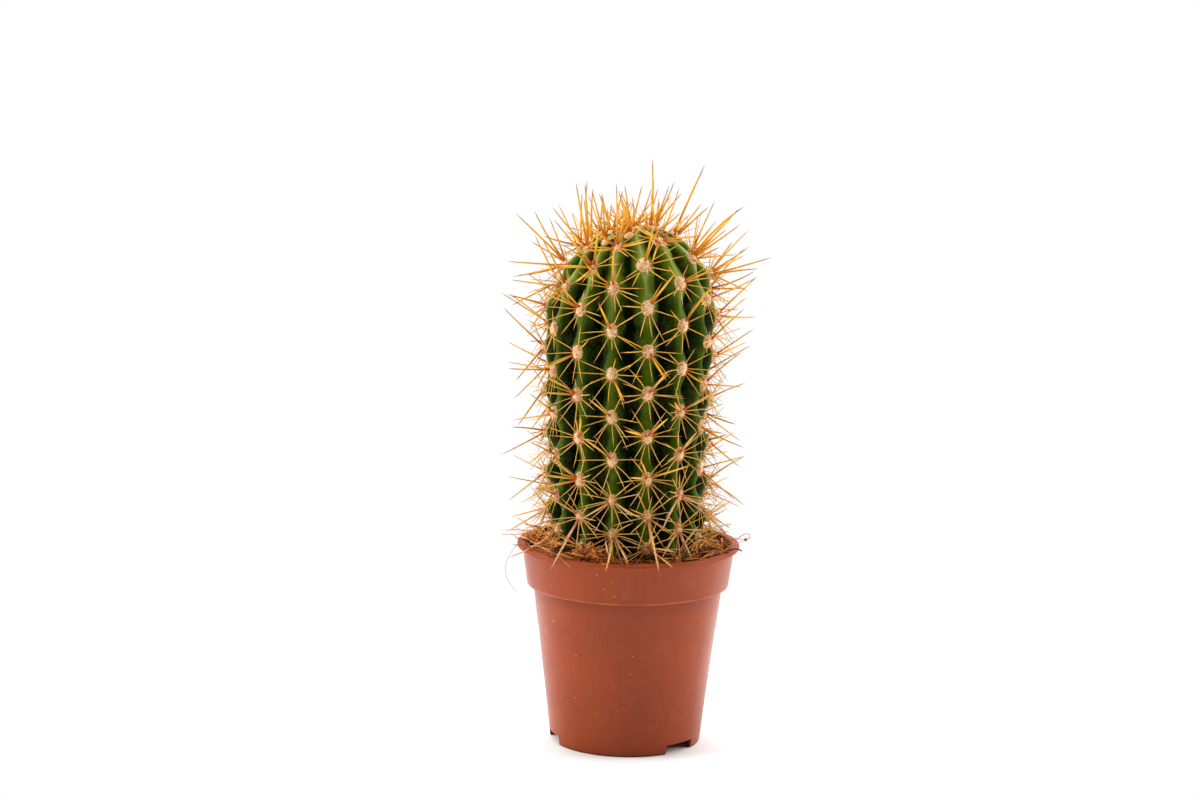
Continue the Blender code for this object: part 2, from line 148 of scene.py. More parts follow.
# Stage
FLOOR_RADIUS = 0.115
STAGE_MIDDLE = Vector((0.0, 0.0, 75.0 * MM))
CAMERA_PLACE = (-7.6 * MM, -648.7 * MM, 191.1 * MM)
CAMERA_PITCH = math.radians(80.72)
CAMERA_ROLL = math.radians(0.957)
CAMERA_LENS = 80.3


def screen_colour(*values):
    """A linear colour from its red, green and blue screen values, 0 to 255."""
    shares = [value / 255.0 for value in values]
    return tuple(c / 12.92 if c <= 0.04045 else ((c + 0.055) / 1.055) ** 2.4 for c in shares)


def colour_property(name, description, *values):
    shades = screen_colour(*values)
    return FloatVectorProperty(
        name=name, description=description, default=shades, subtype="COLOR", min=0.0, max=1.0,
    )


def length_property(name, description, default):
    return FloatProperty(
        name=name, description=description, default=default, min=0.0, precision=5,
        subtype="DISTANCE", unit="LENGTH",
    )


def number_property(name, description, default):
    kind = IntProperty if isinstance(default, int) else FloatProperty
    return kind(name=name, description=description, default=default, min=0)


class PotSettings(PropertyGroup):
    corner_radius: length_property("Corner radius", "Rounding of the pot's moulded corners", 0.25 * MM)
    speck_size: length_property("Speck size", "Largest crumb of peat that sticks to the pot", 0.45 * MM)
    specks: number_property("Specks", "Crumbs that stick to the pot", 90)
    plastic: colour_property("Plastic", "Terracotta-coloured plastic", 147, 59, 17)
    # The worn edge colour is scuffing, and it also serves as a painted highlight along the band's edge
    worn: colour_property("Worn edge", "Plastic scuffed along the band's edge", 180, 88, 46)
    dust: colour_property("Dust", "Dry dust and lime on the plastic", 196, 142, 104)


class PeatSettings(PropertyGroup):
    crumb_size: length_property("Crumb size", "Largest crumb on the peat", 1.5 * MM)
    crumbs: number_property("Crumbs", "Loose crumbs on the peat", 900)
    fibres: number_property("Fibres", "Coir fibres on the peat", 820)
    peat: colour_property("Peat", "Damp peat", 30, 16, 10)
    coir_dark: colour_property("Dark coir", "Red-brown coir", 64, 22, 10)
    coir: colour_property("Coir", "Orange-brown coir", 204, 104, 42)
    coir_light: colour_property("Light coir", "Dry golden coir", 252, 190, 100)


class StemSettings(PropertyGroup):
    rib_depth: length_property("Rib depth", "Depth of the furrows between ribs", RIB_DEPTH)
    swelling: length_property("Swelling", "How far a rib swells at each areole", 1.4 * MM)
    crest: colour_property("Crest", "Skin on the crests", 72, 94, 2)
    young: colour_property("Young skin", "Skin near the growing tip", 114, 134, 24)
    # The flank and furrow colours are painted shade: the ribs' sides and furrows are darkened as if shaded
    shaded_flank: colour_property("Flank", "Skin on the ribs' sides", 24, 44, 1)
    shaded_young_flank: colour_property("Young flank", "Ribs' sides near the tip", 72, 96, 8)
    furrow: colour_property("Furrow", "Skin in the furrows", 3, 15, 2)
    # The bloom and dusted crest colours are wax, and they also serve as painted highlights near the tip
    bloom: colour_property("Bloom", "Pale wax on the skin", 124, 138, 58)
    crest_wax_and_highlight: colour_property("Dusted crest", "Wax along the crests near the tip", 160, 170, 110)
    cork: colour_property("Cork", "Dry corky scars", 150, 122, 84)


class SpineSettings(PropertyGroup):
    radial_radius: length_property("Radial spine", "Radius of a radial spine at its foot", 0.126 * MM)
    central_radius: length_property("Central spine", "Radius of a central spine at its foot", 0.26 * MM)
    crown_radius: length_property("Crown spine", "Radius of a young spine at its foot", 0.23 * MM)
    pad_scale: number_property("Pad size", "Size of the wool pads", 1.0)
    strands: number_property("Strands", "Wool strands on a pad", 110)
    root: colour_property("Root", "Red-brown foot of a spine", 182, 78, 12)
    amber: colour_property("Amber", "Young spines", 238, 180, 46)
    straw: colour_property("Straw", "Old spines", 220, 174, 106)
    bleached: colour_property("Bleached", "Oldest spines", 232, 190, 150)
    rust: colour_property("Rust", "Redder stretches of a spine", 208, 130, 22)
    tip: colour_property("Tip", "Spine tips", 132, 72, 52)
    wool: colour_property("Wool", "Felted wool", 238, 200, 150)


class StageSettings(PropertyGroup):
    surround: number_property("Surround", "Brightness of the white surround", 2.3)
    camera_side: number_property("Camera side", "Brightness of the surround behind the camera", 0.05)
    table: number_property("Table", "Brightness of the table beyond the floor", 1.5)
    floor: FloatVectorProperty(
        name="Floor", description="Plain floor", default=(0.9, 0.893, 0.88), subtype="COLOR",
        min=0.0, max=1.0,
    )


SETTINGS = {
    "cactus_pot": PotSettings,
    "cactus_peat": PeatSettings,
    "cactus_stem": StemSettings,
    "cactus_spines": SpineSettings,
    "cactus_stage": StageSettings,
}


# ---------------------------------------------------------------- shapes of the real thing

def around(radius, degrees, z=0.0):
    """A point at an angle from the front, turning towards +X."""
    angle = math.radians(degrees)
    return Vector((radius * math.sin(angle), -radius * math.cos(angle), z))


def body_radius(z):
    """Outer radius of the pot's tapered body."""
    return FOOT_RADIUS + (BODY_TOP_RADIUS - FOOT_RADIUS) * z / BAND_BOTTOM


def inner_radius(z):
    """Inner radius of the pot, from its floor to its lip."""
    if z <= BAND_BOTTOM:
        return body_radius(z) - WALL
    share = (z - BAND_BOTTOM) / (POT_HEIGHT - BAND_BOTTOM)
    low = BAND_BOTTOM_RADIUS - WALL
    return low + (LIP_INNER_RADIUS - low) * share


def peat_height(x, y):
    """Lumpy top of the peat: a few long waves, higher at the front left."""
    u, v = x / MM, y / MM
    waves = math.sin(0.36 * u + 0.3) * math.cos(0.33 * v - 0.8)
    waves += 0.5 * math.sin(0.45 * v + 0.25 * u + 1.7)
    return PEAT_LEVEL + PEAT_ROUGHNESS * waves - 0.02 * x


def on_peat(spot, lift=0.0):
    """A point above the peat's top."""
    return Vector((spot.x, spot.y, peat_height(spot.x, spot.y) + lift))


def crest_radius(z):
    """Distance of a rib's crest from the stem's axis."""
    if z > COLUMN_TOP:
        share = min((z - COLUMN_TOP) / (APEX - COLUMN_TOP), 1.0)
        return CREST_RADIUS * (1.0 - share ** DOME_POWER) ** (1.0 / DOME_POWER)
    if z > PEAT_LEVEL:
        share = min((z - PEAT_LEVEL) / FLARE_HEIGHT, 1.0)
        return PEAT_LINE_RADIUS + (CREST_RADIUS - PEAT_LINE_RADIUS) * math.sin(share * math.pi / 2.0)
    share = (z - ROOT_BOTTOM) / (PEAT_LEVEL - ROOT_BOTTOM)
    return ROOT_RADIUS + (PEAT_LINE_RADIUS - ROOT_RADIUS) * math.sqrt(max(share, 0.0))


def furrow_rise(z):
    """How far the furrows have opened at a height, from 0 below the peat to 1."""
    return np.clip((z - PEAT_LEVEL + FURROW_SINK) / FURROW_RUN, 0.0, 1.0)


def areole_level(count):
    """Height of an areole, counted in spacings down from the reference one."""
    z = AREOLE_LEVEL - AREOLE_SPACING * count
    if count > 3.0:
        z += 0.6 * MM * (count - 3.0) ** 2
    if count < 0.0:
        z -= 0.25 * MM * count ** 2
    return z


def areole_levels(rib):
    """Heights of one rib's wool pads, from the top one down."""
    shift = (RIB_SHIFT * rib) % 1.0
    levels = [areole_level(step - shift) for step in range(-4, 9)]
    return [z for z in levels if LOWEST_AREOLE <= z <= HIGHEST_AREOLE]


def areole_frame(rib, z, lift=0.0):
    """Axes across, along and out of a rib's crest, at a lift in front of it."""
    angle = FIRST_RIB_ANGLE + RIB_PITCH * rib
    above, below = z + 0.2 * MM, z - 0.2 * MM
    along = around(crest_radius(above), angle, above) - around(crest_radius(below), angle, below)
    along.normalize()
    across = around(1.0, angle + 90.0)
    out = across.cross(along)
    made = Matrix((across, along, out)).transposed().to_4x4()
    made.translation = around(crest_radius(z), angle, z) + out * lift
    return made


def leaned():
    """The plant's lean about the peat line."""
    pivot = Matrix.Translation((0.0, 0.0, PEAT_LEVEL))
    return pivot @ Matrix.Rotation(LEAN, 4, "Y") @ pivot.inverted()


def hump(values, centre, width):
    """1 at the centre, falling smoothly to 0 a few widths away."""
    return np.exp(-((values - centre) / width) ** 2)


def ramp(values, low, high):
    """0 below low, 1 above high and smooth between them."""
    share = np.clip((values - low) / (high - low), 0.0, 1.0)
    return share * share * (3.0 - 2.0 * share)


# Where ribs have spread. Turns, angles and their widths are in degrees, levels and heights in mm.
Spread = namedtuple("Spread", "turn angle width level height")
SPREADS = (Spread(4.4, 52, 34, 102, 17), Spread(-3.2, -58, 26, 93, 13))


def grown(points):
    """Upright plant points as the plant grew: ribs that spread a little, and an uneven dome."""
    x, y, z = np.asarray(points).T
    turn = np.degrees(np.arctan2(x, -y))
    radius = np.hypot(x, y)
    spread = sum(
        one.turn * hump(turn, one.angle, one.width) * hump(z, one.level * MM, one.height * MM)
        for one in SPREADS
    )
    turn = np.radians(turn + spread)
    x, y = radius * np.sin(turn), -radius * np.cos(turn)
    left, right = ramp(-x, 1.0 * MM, 15.0 * MM), ramp(x, 1.0 * MM, 15.0 * MM)
    shift = 2.5 * MM * ramp(z, 106.0 * MM, 121.0 * MM) * left
    shift += 1.3 * MM * hump(z, 119.0 * MM, 9.0 * MM) * right
    bulge = 1.4 * MM * hump(z, 105.0 * MM, 11.0 * MM) - 0.6 * MM * hump(z, 68.0 * MM, 16.0 * MM)
    shift += bulge * ramp(x, 15.0 * MM, 20.0 * MM)
    high = ramp(z, 118.0 * MM, APEX)
    sunk = 1.3 * MM * high * ramp(-x, -4.0 * MM, 6.0 * MM) + 1.2 * MM * high * hump(radius, 0.0, 4.5 * MM)
    return np.column_stack((x + shift, y, z - sunk))


def carried(points, foot):
    """Points that keep their shape and go where their foot grew."""
    return points + (grown([foot])[0] - np.array(foot))


# ---------------------------------------------------------------- modelling helpers

def start_piece(name, add, **options):
    """Add a primitive with nothing else selected, name it, and enter edit mode."""
    bpy.ops.object.select_all(action="DESELECT")
    add(**options)
    piece = bpy.context.object
    piece.name = piece.data.name = name
    bpy.ops.object.mode_set(mode="EDIT")
    return piece


def leave_closed():
    """Point every face outwards, and leave edit mode."""
    bpy.ops.mesh.select_all(action="SELECT")
    bpy.ops.mesh.normals_make_consistent(inside=False)
    bpy.ops.object.mode_set(mode="OBJECT")


def spin_outline(name, points, steps, closed=False):
    """Turn an outline of (radius, height) points round the Z axis into a closed shell."""
    piece = start_piece(name, bpy.ops.mesh.primitive_plane_add, size=MM)
    bpy.ops.mesh.merge(type="CENTER")
    bpy.ops.transform.translate(value=(points[0][0], 0.0, points[0][1]))
    for (near, low), (far, high) in zip(points, points[1:]):
        step = (far - near, 0.0, high - low)
        bpy.ops.mesh.extrude_region_move(TRANSFORM_OT_translate={"value": step})
    if closed:
        bpy.ops.object.mode_set(mode="OBJECT")
        for vertex in piece.data.vertices:
            vertex.select = vertex.index in (0, len(points) - 1)
        bpy.ops.object.mode_set(mode="EDIT")
        bpy.ops.mesh.edge_face_add()
    bpy.ops.mesh.select_all(action="SELECT")
    bpy.ops.mesh.spin(steps=steps, angle=2.0 * math.pi, center=(0.0, 0.0, 0.0), axis=(0.0, 0.0, 1.0))
    bpy.ops.mesh.select_all(action="SELECT")
    bpy.ops.mesh.remove_doubles(threshold=0.001 * MM)
    leave_closed()
    return piece


def rounded(corners, segments=4):
    """An outline whose corners, given as (radius, height, rounding), are turned into arcs."""
    points = []
    for i, (x, z, size) in enumerate(corners):
        here = Vector((x, z))
        before = (Vector(corners[i - 1][:2]) - here).normalized()
        after = (Vector(corners[(i + 1) % len(corners)][:2]) - here).normalized()
        half = before.angle(after) / 2.0
        centre = here + (before + after).normalized() * size / math.sin(half)
        start = here + before * size / math.tan(half) - centre
        end = here + after * size / math.tan(half) - centre
        for step in range(segments + 1):
            way = start.lerp(end, step / segments).normalized()
            points.append(tuple(centre + way * size))
    return points


def select_only(piece):
    bpy.ops.object.select_all(action="DESELECT")
    piece.select_set(True)
    bpy.context.view_layer.objects.active = piece


def cut_away(piece, cutter):
    """Cut a piece with another, which is then deleted."""
    select_only(piece)
    cut = piece.modifiers.new("Cut", "BOOLEAN")
    cut.operation = "DIFFERENCE"
    cut.solver = "EXACT"
    cut.object = cutter
    bpy.ops.object.modifier_apply(modifier=cut.name)
    bpy.data.objects.remove(cutter)


def points_of(piece):
    """A mesh's points as an array of rows x, y, z."""
    found = np.empty(len(piece.data.vertices) * 3)
    piece.data.vertices.foreach_get("co", found)
    return found.reshape(-1, 3)


def move_points(piece, points):
    piece.data.vertices.foreach_set("co", points.ravel())
    piece.data.update()


def mark_points(piece, **marks):
    """Keep a number for each point, which the materials read by its name."""
    for name, values in marks.items():
        kept = piece.data.attributes.new(name, "FLOAT", "POINT")
        kept.data.foreach_set("value", np.asarray(values, np.float32))


def dress(piece, material, slot, *nodes):
    """Give a finished piece its material, its body and the nodes that it stands for. Its slot argument is not
    used.
    """
    piece.data.materials.clear()
    piece.data.materials.append(material)
    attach(piece, "root")
    if nodes:
        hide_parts(*nodes)


Shape = namedtuple("Shape", "points faces")


def take_shape(piece):
    """Read a modelled piece as a shape to copy, and delete it."""
    leave_closed()
    shape = Shape(points_of(piece), [tuple(face.vertices) for face in piece.data.polygons])
    mesh = piece.data
    bpy.data.objects.remove(piece)
    bpy.data.meshes.remove(mesh)
    return shape


def model_strand(sides, *levels):
    """A round strand of length 1 along Z, through (height, radius) levels to a closed point."""
    piece = start_piece(
        "strand", bpy.ops.mesh.primitive_circle_add, vertices=sides, radius=levels[0][1], fill_type="NGON",
    )
    for (low, thick), (high, thin) in zip(levels, levels[1:]):
        bpy.ops.mesh.extrude_region_move(TRANSFORM_OT_translate={"value": (0.0, 0.0, high - low)})
        if thin:
            share = thin / thick
            bpy.ops.transform.resize(value=(share, share, 1.0), center_override=(0.0, 0.0, high))
        else:
            bpy.ops.mesh.merge(type="CENTER")
    return take_shape(piece)


def model_lump():
    """A rough unit lump, copied for crumbs and specks."""
    piece = start_piece("lump", bpy.ops.mesh.primitive_ico_sphere_add, subdivisions=2, radius=1.0)
    bpy.ops.transform.vertex_random(offset=0.22, seed=3)
    return take_shape(piece)


class Pile:
    """Copies of modelled shapes gathered into one mesh, with a few numbers for each point."""

    def __init__(self):
        self.points = []
        self.faces = []
        self.marks = {}
        self.count = 0

    def add(self, shape, points, **marks):
        self.points.append(points)
        self.faces.extend(tuple(i + self.count for i in face) for face in shape.faces)
        self.count += len(points)
        for name, value in marks.items():
            kept = np.broadcast_to(np.asarray(value, float), len(points))
            self.marks.setdefault(name, []).append(kept)

    def build(self, name):
        mesh = bpy.data.meshes.new(name)
        mesh.from_pydata(np.concatenate(self.points), [], self.faces)
        piece = bpy.data.objects.new(name, mesh)
        bpy.context.scene.collection.objects.link(piece)
        mark_points(piece, **{key: np.concatenate(values) for key, values in self.marks.items()})
        mesh.shade_smooth()
        return piece


def three(draw, x=1.0, y=1.0, z=1.0):
    """Three random numbers about 0, each with its own spread."""
    return draw.gauss(0, x), draw.gauss(0, y), draw.gauss(0, z)


def side_axes(way):
    """Two directions square to a way."""
    first = np.cross(way, (0.31, 0.52, 0.79))
    first /= np.linalg.norm(first)
    return first, np.cross(way, first)


def lay_straight(shape, start, end, radius, sag):
    """Place a unit strand from start to end, bowed sideways by sag in its middle."""
    start, end = np.array(start), np.array(end)
    across, over, along = (shape.points[:, i:i + 1] for i in range(3))
    way = end - start
    first, second = side_axes(way / np.linalg.norm(way))
    placed = start + way * along + (first * across + second * over) * radius
    return placed + np.array(sag) * (4.0 * along * (1.0 - along))


def lay_along(shape, path, radius, flatness=1.0):
    """Place a unit strand along a path of points, level by level. A shred is a flattened one."""
    path = np.array(path)
    stations = np.linspace(0.0, 1.0, len(path))
    along = shape.points[:, 2]
    placed = np.column_stack([np.interp(along, stations, path[:, axis]) for axis in range(3)])
    ways = np.gradient(path, axis=0)
    ways /= np.linalg.norm(ways, axis=1)[:, None]
    reference = side_axes(ways[len(ways) // 2])[0]
    for i, share in enumerate(along):
        way = ways[int(round(share * (len(ways) - 1)))]
        second = np.cross(way, reference)
        second /= max(np.linalg.norm(second), 1e-6)
        first = np.cross(second, way)
        placed[i] += (first * shape.points[i, 0] * flatness + second * shape.points[i, 1]) * radius
    return placed


# ---------------------------------------------------------------- materials

def tinted(colour, *factors):
    """A colour whose channels are multiplied by one factor, or by three."""
    factors = factors * 3 if len(factors) == 1 else factors
    return tuple(min(channel * factor, 1.0) for channel, factor in zip(colour, factors))


class Nodes:
    """Adds shader nodes to a tree. Each method returns the new node's output socket."""

    def __init__(self, tree):
        self.tree = tree

    def feed(self, socket, value):
        """Link a socket to another one, or set its number or colour."""
        if isinstance(value, NodeSocket):
            self.tree.links.new(value, socket)
        else:
            socket.default_value = (*value, 1.0) if socket.type == "RGBA" else value

    def add(self, kind, output, inputs=None, **settings):
        """Add a node with its settings, and feed its inputs by name or by number."""
        node = self.tree.nodes.new("ShaderNode" + kind)
        for key, value in settings.items():
            setattr(node, key, value)
        for key, value in (inputs or {}).items():
            self.feed(node.inputs[key], value)
        return node.outputs[output]

    def remap(self, value, low, high, to_low=0.0, to_high=1.0):
        span = {"From Min": low, "From Max": high, "To Min": to_low, "To Max": to_high}
        return self.add("MapRange", "Result", {"Value": value, **span})

    def product(self, first, second):
        return self.add("Math", "Value", {0: first, 1: second}, operation="MULTIPLY")

    def between(self, value, start, full, last, end, most=1.0):
        """A share that rises from start to full, and falls from last to end."""
        return self.product(self.remap(value, start, full, 0.0, most), self.remap(value, last, end, 1.0, 0.0))

    def mix(self, share, first, second, blend="MIX"):
        """Mix two colours, each a socket or a colour, by a socket or a number."""
        return self.add("Mix", 2, {0: share, 6: first, 7: second}, data_type="RGBA", blend_type=blend)


class Look(Nodes):
    """A Principled material in the making, whose colour is laid on in layers."""

    def __init__(self, name, roughness, specular, colour):
        self.material = bpy.data.materials.new(name)
        self.material.use_nodes = True
        super().__init__(self.material.node_tree)
        self.shader = self.tree.nodes["Principled BSDF"].inputs
        self.shader["Roughness"].default_value = roughness
        self.shader["Specular IOR Level"].default_value = specular
        self.colour = colour
        self.place = self.stretched(1.0, 1.0, 1.0)

    def stretched(self, x, y, z):
        """Coordinates of the piece itself, stretched for a directed pattern."""
        place = self.add("TexCoord", "Object")
        return self.add("Mapping", "Vector", {"Vector": place, "Scale": (x, y, z)})

    def noise(self, scale, detail=3.0, roughness=0.5, place=None):
        inputs = {"Vector": place or self.place, "Scale": scale, "Detail": detail, "Roughness": roughness}
        return self.add("TexNoise", "Fac", inputs)

    def patches(self, low, high, most, *texture):
        """A share in patches: noise, cut off below low and at its most above high."""
        return self.remap(self.noise(*texture), low, high, 0.0, most)

    def dots(self, scale, edge, full, most=1.0):
        """A share in round dots, from 0 at an edge to its most nearer their middles."""
        cells = self.add("TexVoronoi", "Distance", {"Vector": self.place, "Scale": scale})
        return self.remap(cells, edge, full, 0.0, most)

    def mark(self, name):
        """A number that the piece keeps for each point."""
        return self.add("Attribute", "Fac", attribute_name=name)

    def cover(self, share, colour):
        """Lay a colour over the one so far."""
        self.colour = self.mix(share, self.colour, colour)

    def finish(self, height=None, distance=0.0, strength=1.0):
        """Link the colour and the bump, and return the material."""
        self.feed(self.shader["Base Color"], self.colour)
        if height:
            bump = {"Height": height, "Distance": distance, "Strength": strength}
            self.feed(self.shader["Normal"], self.add("Bump", "Normal", bump))
        return self.material


def plastic_material(settings):
    """Moulded terracotta plastic with scuffs on its band's edge that also act as a painted highlight, grime,
    dust, uneven gloss, and painted shade under the band, inside the rim and on the foot's bottom edge.
    """
    look = Look("terracotta_plastic", 0.34, 0.21, settings.plastic)
    z = look.add("SeparateXYZ", "Z", {"Vector": look.place})
    radius = look.add("VectorMath", "Value", {0: look.stretched(1.0, 1.0, 0.0)}, operation="LENGTH")
    grime_and_shade = tinted(settings.plastic, 0.45)
    cloud = look.noise(60.0, 4.0)
    streaks = look.noise(900.0, 2.0, place=look.stretched(1.0, 1.0, 0.06))
    look.cover(look.remap(cloud, 0.35, 0.65, 0.0, 0.18), grime_and_shade)
    look.cover(look.remap(streaks, 0.5, 0.75, 0.0, 0.12), grime_and_shade)

    # Dust as a film and in grains, grime splashed low on the body, and painted shade under the band's
    # overhang
    look.cover(look.patches(0.55, 0.85, 0.1, 260.0, 5.0, 0.65), settings.dust)
    grains = look.product(look.dots(420.0, 0.085, 0.05), look.patches(0.58, 0.68, 1.0, 95.0, 2.0))
    look.cover(grains, settings.dust)
    splashed = look.between(z, 6.0 * MM, 10.0 * MM, 14.0 * MM, 20.0 * MM)
    splashes = look.product(splashed, look.patches(0.36, 0.56, 1.0, 70.0, 2.0))
    look.cover(look.product(look.patches(0.52, 0.64, 0.4, 1600.0, 3.0, 0.6), splashes), grime_and_shade)
    band = BAND_BOTTOM
    # Painted shade under the band's overhang: the body just below the band is darkened
    shaded = look.between(z, band - 4.0 * MM, band - 0.2 * MM, band, band + 0.01 * MM, 0.42)
    look.cover(shaded, grime_and_shade)

    # The band's edge, lighter with scuffs and a painted highlight; the inside above the peat, darkened by
    # soiling and painted shade; and painted contact shade on the foot's bottom edge and underside
    # A lighter line along the band's bottom edge: scuffed plastic, and a painted highlight where the edge
    # catches light
    edge = look.between(z, band - 0.05 * MM, band, band + 0.25 * MM, band + 0.45 * MM)
    scuffs_and_highlight = look.remap(look.noise(320.0), 0.36, 0.6, 0.2, 1.0)
    look.cover(look.product(edge, scuffs_and_highlight), settings.worn)
    # The inside wall above the peat is darkened nearly to black: peat soiling, and painted shade inside the
    # rim
    inner = look.remap(radius, LIP_INNER_RADIUS + 0.3 * MM, LIP_INNER_RADIUS, 0.0, 0.92)
    soiled_and_shaded = look.product(inner, look.remap(z, PEAT_LEVEL - 0.5 * MM, PEAT_LEVEL))
    look.cover(soiled_and_shaded, tinted(settings.plastic, 0.1))
    # Painted contact shade: the foot's bottom edge and underside are darkened nearly to black
    look.cover(look.remap(z, 0.45 * MM, 0.15 * MM, 0.0, 0.85), tinted(settings.plastic, 0.05))

    # Glossier in clouds, and dull on the lip
    gloss = look.remap(cloud, 0.3, 0.7, 0.3, 0.4)
    lip = look.remap(z, POT_HEIGHT - 1.3 * MM, POT_HEIGHT - 1.0 * MM)
    look.feed(look.shader["Roughness"], look.mix(lip, gloss, (0.62, 0.62, 0.62)))
    return look.finish(look.mix(0.5, look.noise(2600.0, 2.0), streaks), 0.02 * MM, 0.6)


def peat_material(settings):
    look = Look("damp_peat", 0.95, 0.2, tinted(settings.peat, 0.3))
    look.cover(look.patches(0.35, 0.65, 1.0, 700.0, 4.0), settings.peat)
    look.cover(look.patches(0.62, 0.72, 1.0, 1500.0, 2.0), settings.coir_dark)
    return look.finish(look.noise(1800.0, 4.0), 0.3 * MM)


def coir_material(settings):
    """Fibres from red-brown to straw, by each strand's own tone."""
    look = Look("coir", 0.75, 0.3, settings.coir_dark)
    tone = look.mark("tone")
    look.cover(look.remap(tone, 0.0, 0.5), settings.coir)
    look.cover(look.remap(tone, 0.5, 1.0), settings.coir_light)
    look.cover(look.patches(0.58, 0.78, 0.6, 900.0), tinted(settings.coir_dark, 0.35))
    return look.finish(look.noise(5000.0), 0.03 * MM)


def skin_material(settings):
    """Waxy green skin with painted shade on the ribs' sides, in the furrows and in their folds, wax bloom
    that also stands in for painted highlights, pale pores and a few corky scars.
    """
    look = Look("waxy_green_skin", 0.32, 0.035, settings.crest)
    mottle = look.noise(260.0, 4.0, 0.6)
    furrow_shading, bloom = look.mark("furrow"), look.mark("bloom")
    age = look.remap(bloom, 0.6, 1.0)
    look.cover(age, settings.young)
    dull = look.mix(1.0, look.colour, (0.62, 0.62, 0.62), "MULTIPLY")
    look.cover(look.remap(mottle, 0.35, 0.7), dull)
    # Painted shade: the ribs' sides and then the furrows darken with depth
    look.cover(look.remap(furrow_shading, 0.0, 0.16), look.mix(age, settings.shaded_flank, settings.shaded_young_flank))
    look.cover(look.remap(furrow_shading, 0.12, 0.6), look.mix(age, settings.furrow, settings.shaded_flank))
    # Painted shade in fine horizontal folds inside the furrows
    folds = look.noise(800.0, 2.0, place=look.stretched(0.35, 0.35, 1.0))
    crease_shade = look.product(look.remap(folds, 0.4, 0.65, 0.0, 0.45), furrow_shading)
    look.cover(crease_shade, tinted(settings.furrow, 0.3))
    look.cover(look.dots(1500.0, 0.3, 0.1, 0.22), settings.bloom)
    # Wax bloom near the tip, which also stands in for painted highlights, and a painted highlight of wax
    # along the crests near the tip
    look.cover(look.product(look.patches(0.5, 0.7, 0.5, 170.0, 6.0, 0.75), bloom), settings.bloom)
    crest_highlight = look.product(look.remap(furrow_shading, 0.035, 0.0), look.remap(mottle, 0.3, 0.6, 0.3, 0.85))
    look.cover(look.product(crest_highlight, age), settings.crest_wax_and_highlight)
    look.cover(look.product(look.patches(0.655, 0.69, 1.0, 210.0, 6.0, 0.7), bloom), settings.cork)
    look.feed(look.shader["Roughness"], look.remap(mottle, 0.3, 0.7, 0.26, 0.4))
    return look.finish(look.mix(0.5, look.noise(1700.0), folds), 0.08 * MM, 0.7)


def spine_material(settings):
    """Horny spines: red-brown foot, amber, straw or bleached shaft and a duller tip."""
    look = Look("horny_spines", 0.5, 0.1, settings.amber)
    along, tone = look.mark("along"), look.mark("tone")
    look.cover(tone, settings.straw)
    look.cover(look.remap(tone, 1.0, 1.5), settings.bleached)
    look.cover(look.patches(0.42, 0.7, 0.42, 420.0), settings.rust)
    look.cover(look.product(look.remap(along, 0.42, 0.05), look.mark("foot")), settings.root)
    look.cover(look.remap(along, 0.11, 0.06, 0.0, 0.6), settings.root)
    tips = look.product(look.remap(along, 0.72, 0.95, 0.0, 0.85), look.remap(tone, 0.6, 0.15, 0.3, 1.0))
    look.cover(tips, settings.tip)
    return look.finish()


def wool_material(settings):
    """Felted wool: painted shade in its hollows as a darker brown tint, paler on young pads, and dotted with
    the feet of spines.
    """
    # The darker brown base tint is painted shade, showing between noise patches of the wool's own colour
    look = Look("felted_wool", 0.9, 0.1, tinted(settings.wool, 0.68, 0.52, 0.38))
    look.cover(look.patches(0.3, 0.6, 1.0, 1300.0, 4.0), settings.wool)
    look.cover(look.mark("tone"), tinted(settings.wool, 1.18, 1.3, 1.45))
    look.cover(look.dots(1500.0, 0.34, 0.22, 0.7), settings.root)
    look.shader["Sheen Weight"].default_value = 0.1
    return look.finish(look.noise(4200.0), 0.1 * MM)


# ---------------------------------------------------------------- pot

def pot_outline(rounding):
    """The wall's closed outline, from the foot's outer edge anticlockwise."""
    floor_top = FOOT_RECESS + WALL
    lip_under = POT_HEIGHT - LIP_THICKNESS
    ledge = BAND_BOTTOM + WALL
    small = rounding * 0.6
    lip = LIP_THICKNESS * 0.42
    return rounded([
        (body_radius(0.0), 0.0, small),
        (body_radius(BAND_BOTTOM), BAND_BOTTOM, small),
        (BAND_BOTTOM_RADIUS, BAND_BOTTOM, small),
        (BAND_TOP_RADIUS, lip_under, rounding),
        (LIP_RADIUS, lip_under, lip),
        (LIP_RADIUS, POT_HEIGHT, lip),
        (LIP_INNER_RADIUS, POT_HEIGHT, rounding),
        (inner_radius(ledge), ledge, small),
        (inner_radius(BAND_BOTTOM), ledge, small),
        (inner_radius(floor_top), floor_top, rounding),
        (DRAIN_RADIUS, floor_top, small),
        (DRAIN_RADIUS, FOOT_RECESS, small),
        (inner_radius(FOOT_RECESS), FOOT_RECESS, rounding),
        (inner_radius(0.0), 0.0, small),
    ])


def make_notch_cutter(angle):
    """A block with rounded upper corners that opens the foot ring."""
    cutter = start_piece("notch_cutter", bpy.ops.mesh.primitive_cube_add, size=1.0)
    bpy.ops.transform.resize(value=(NOTCH_WIDTH, 6.0 * MM, 2.0 * NOTCH_HEIGHT))
    bpy.ops.transform.translate(value=(0.0, -FOOT_RADIUS, 0.0))
    bpy.ops.transform.rotate(value=-math.radians(angle), orient_axis="Z", center_override=(0.0, 0.0, 0.0))
    bpy.ops.mesh.bevel(offset=0.3 * MM, segments=3)
    bpy.ops.object.mode_set(mode="OBJECT")
    return cutter


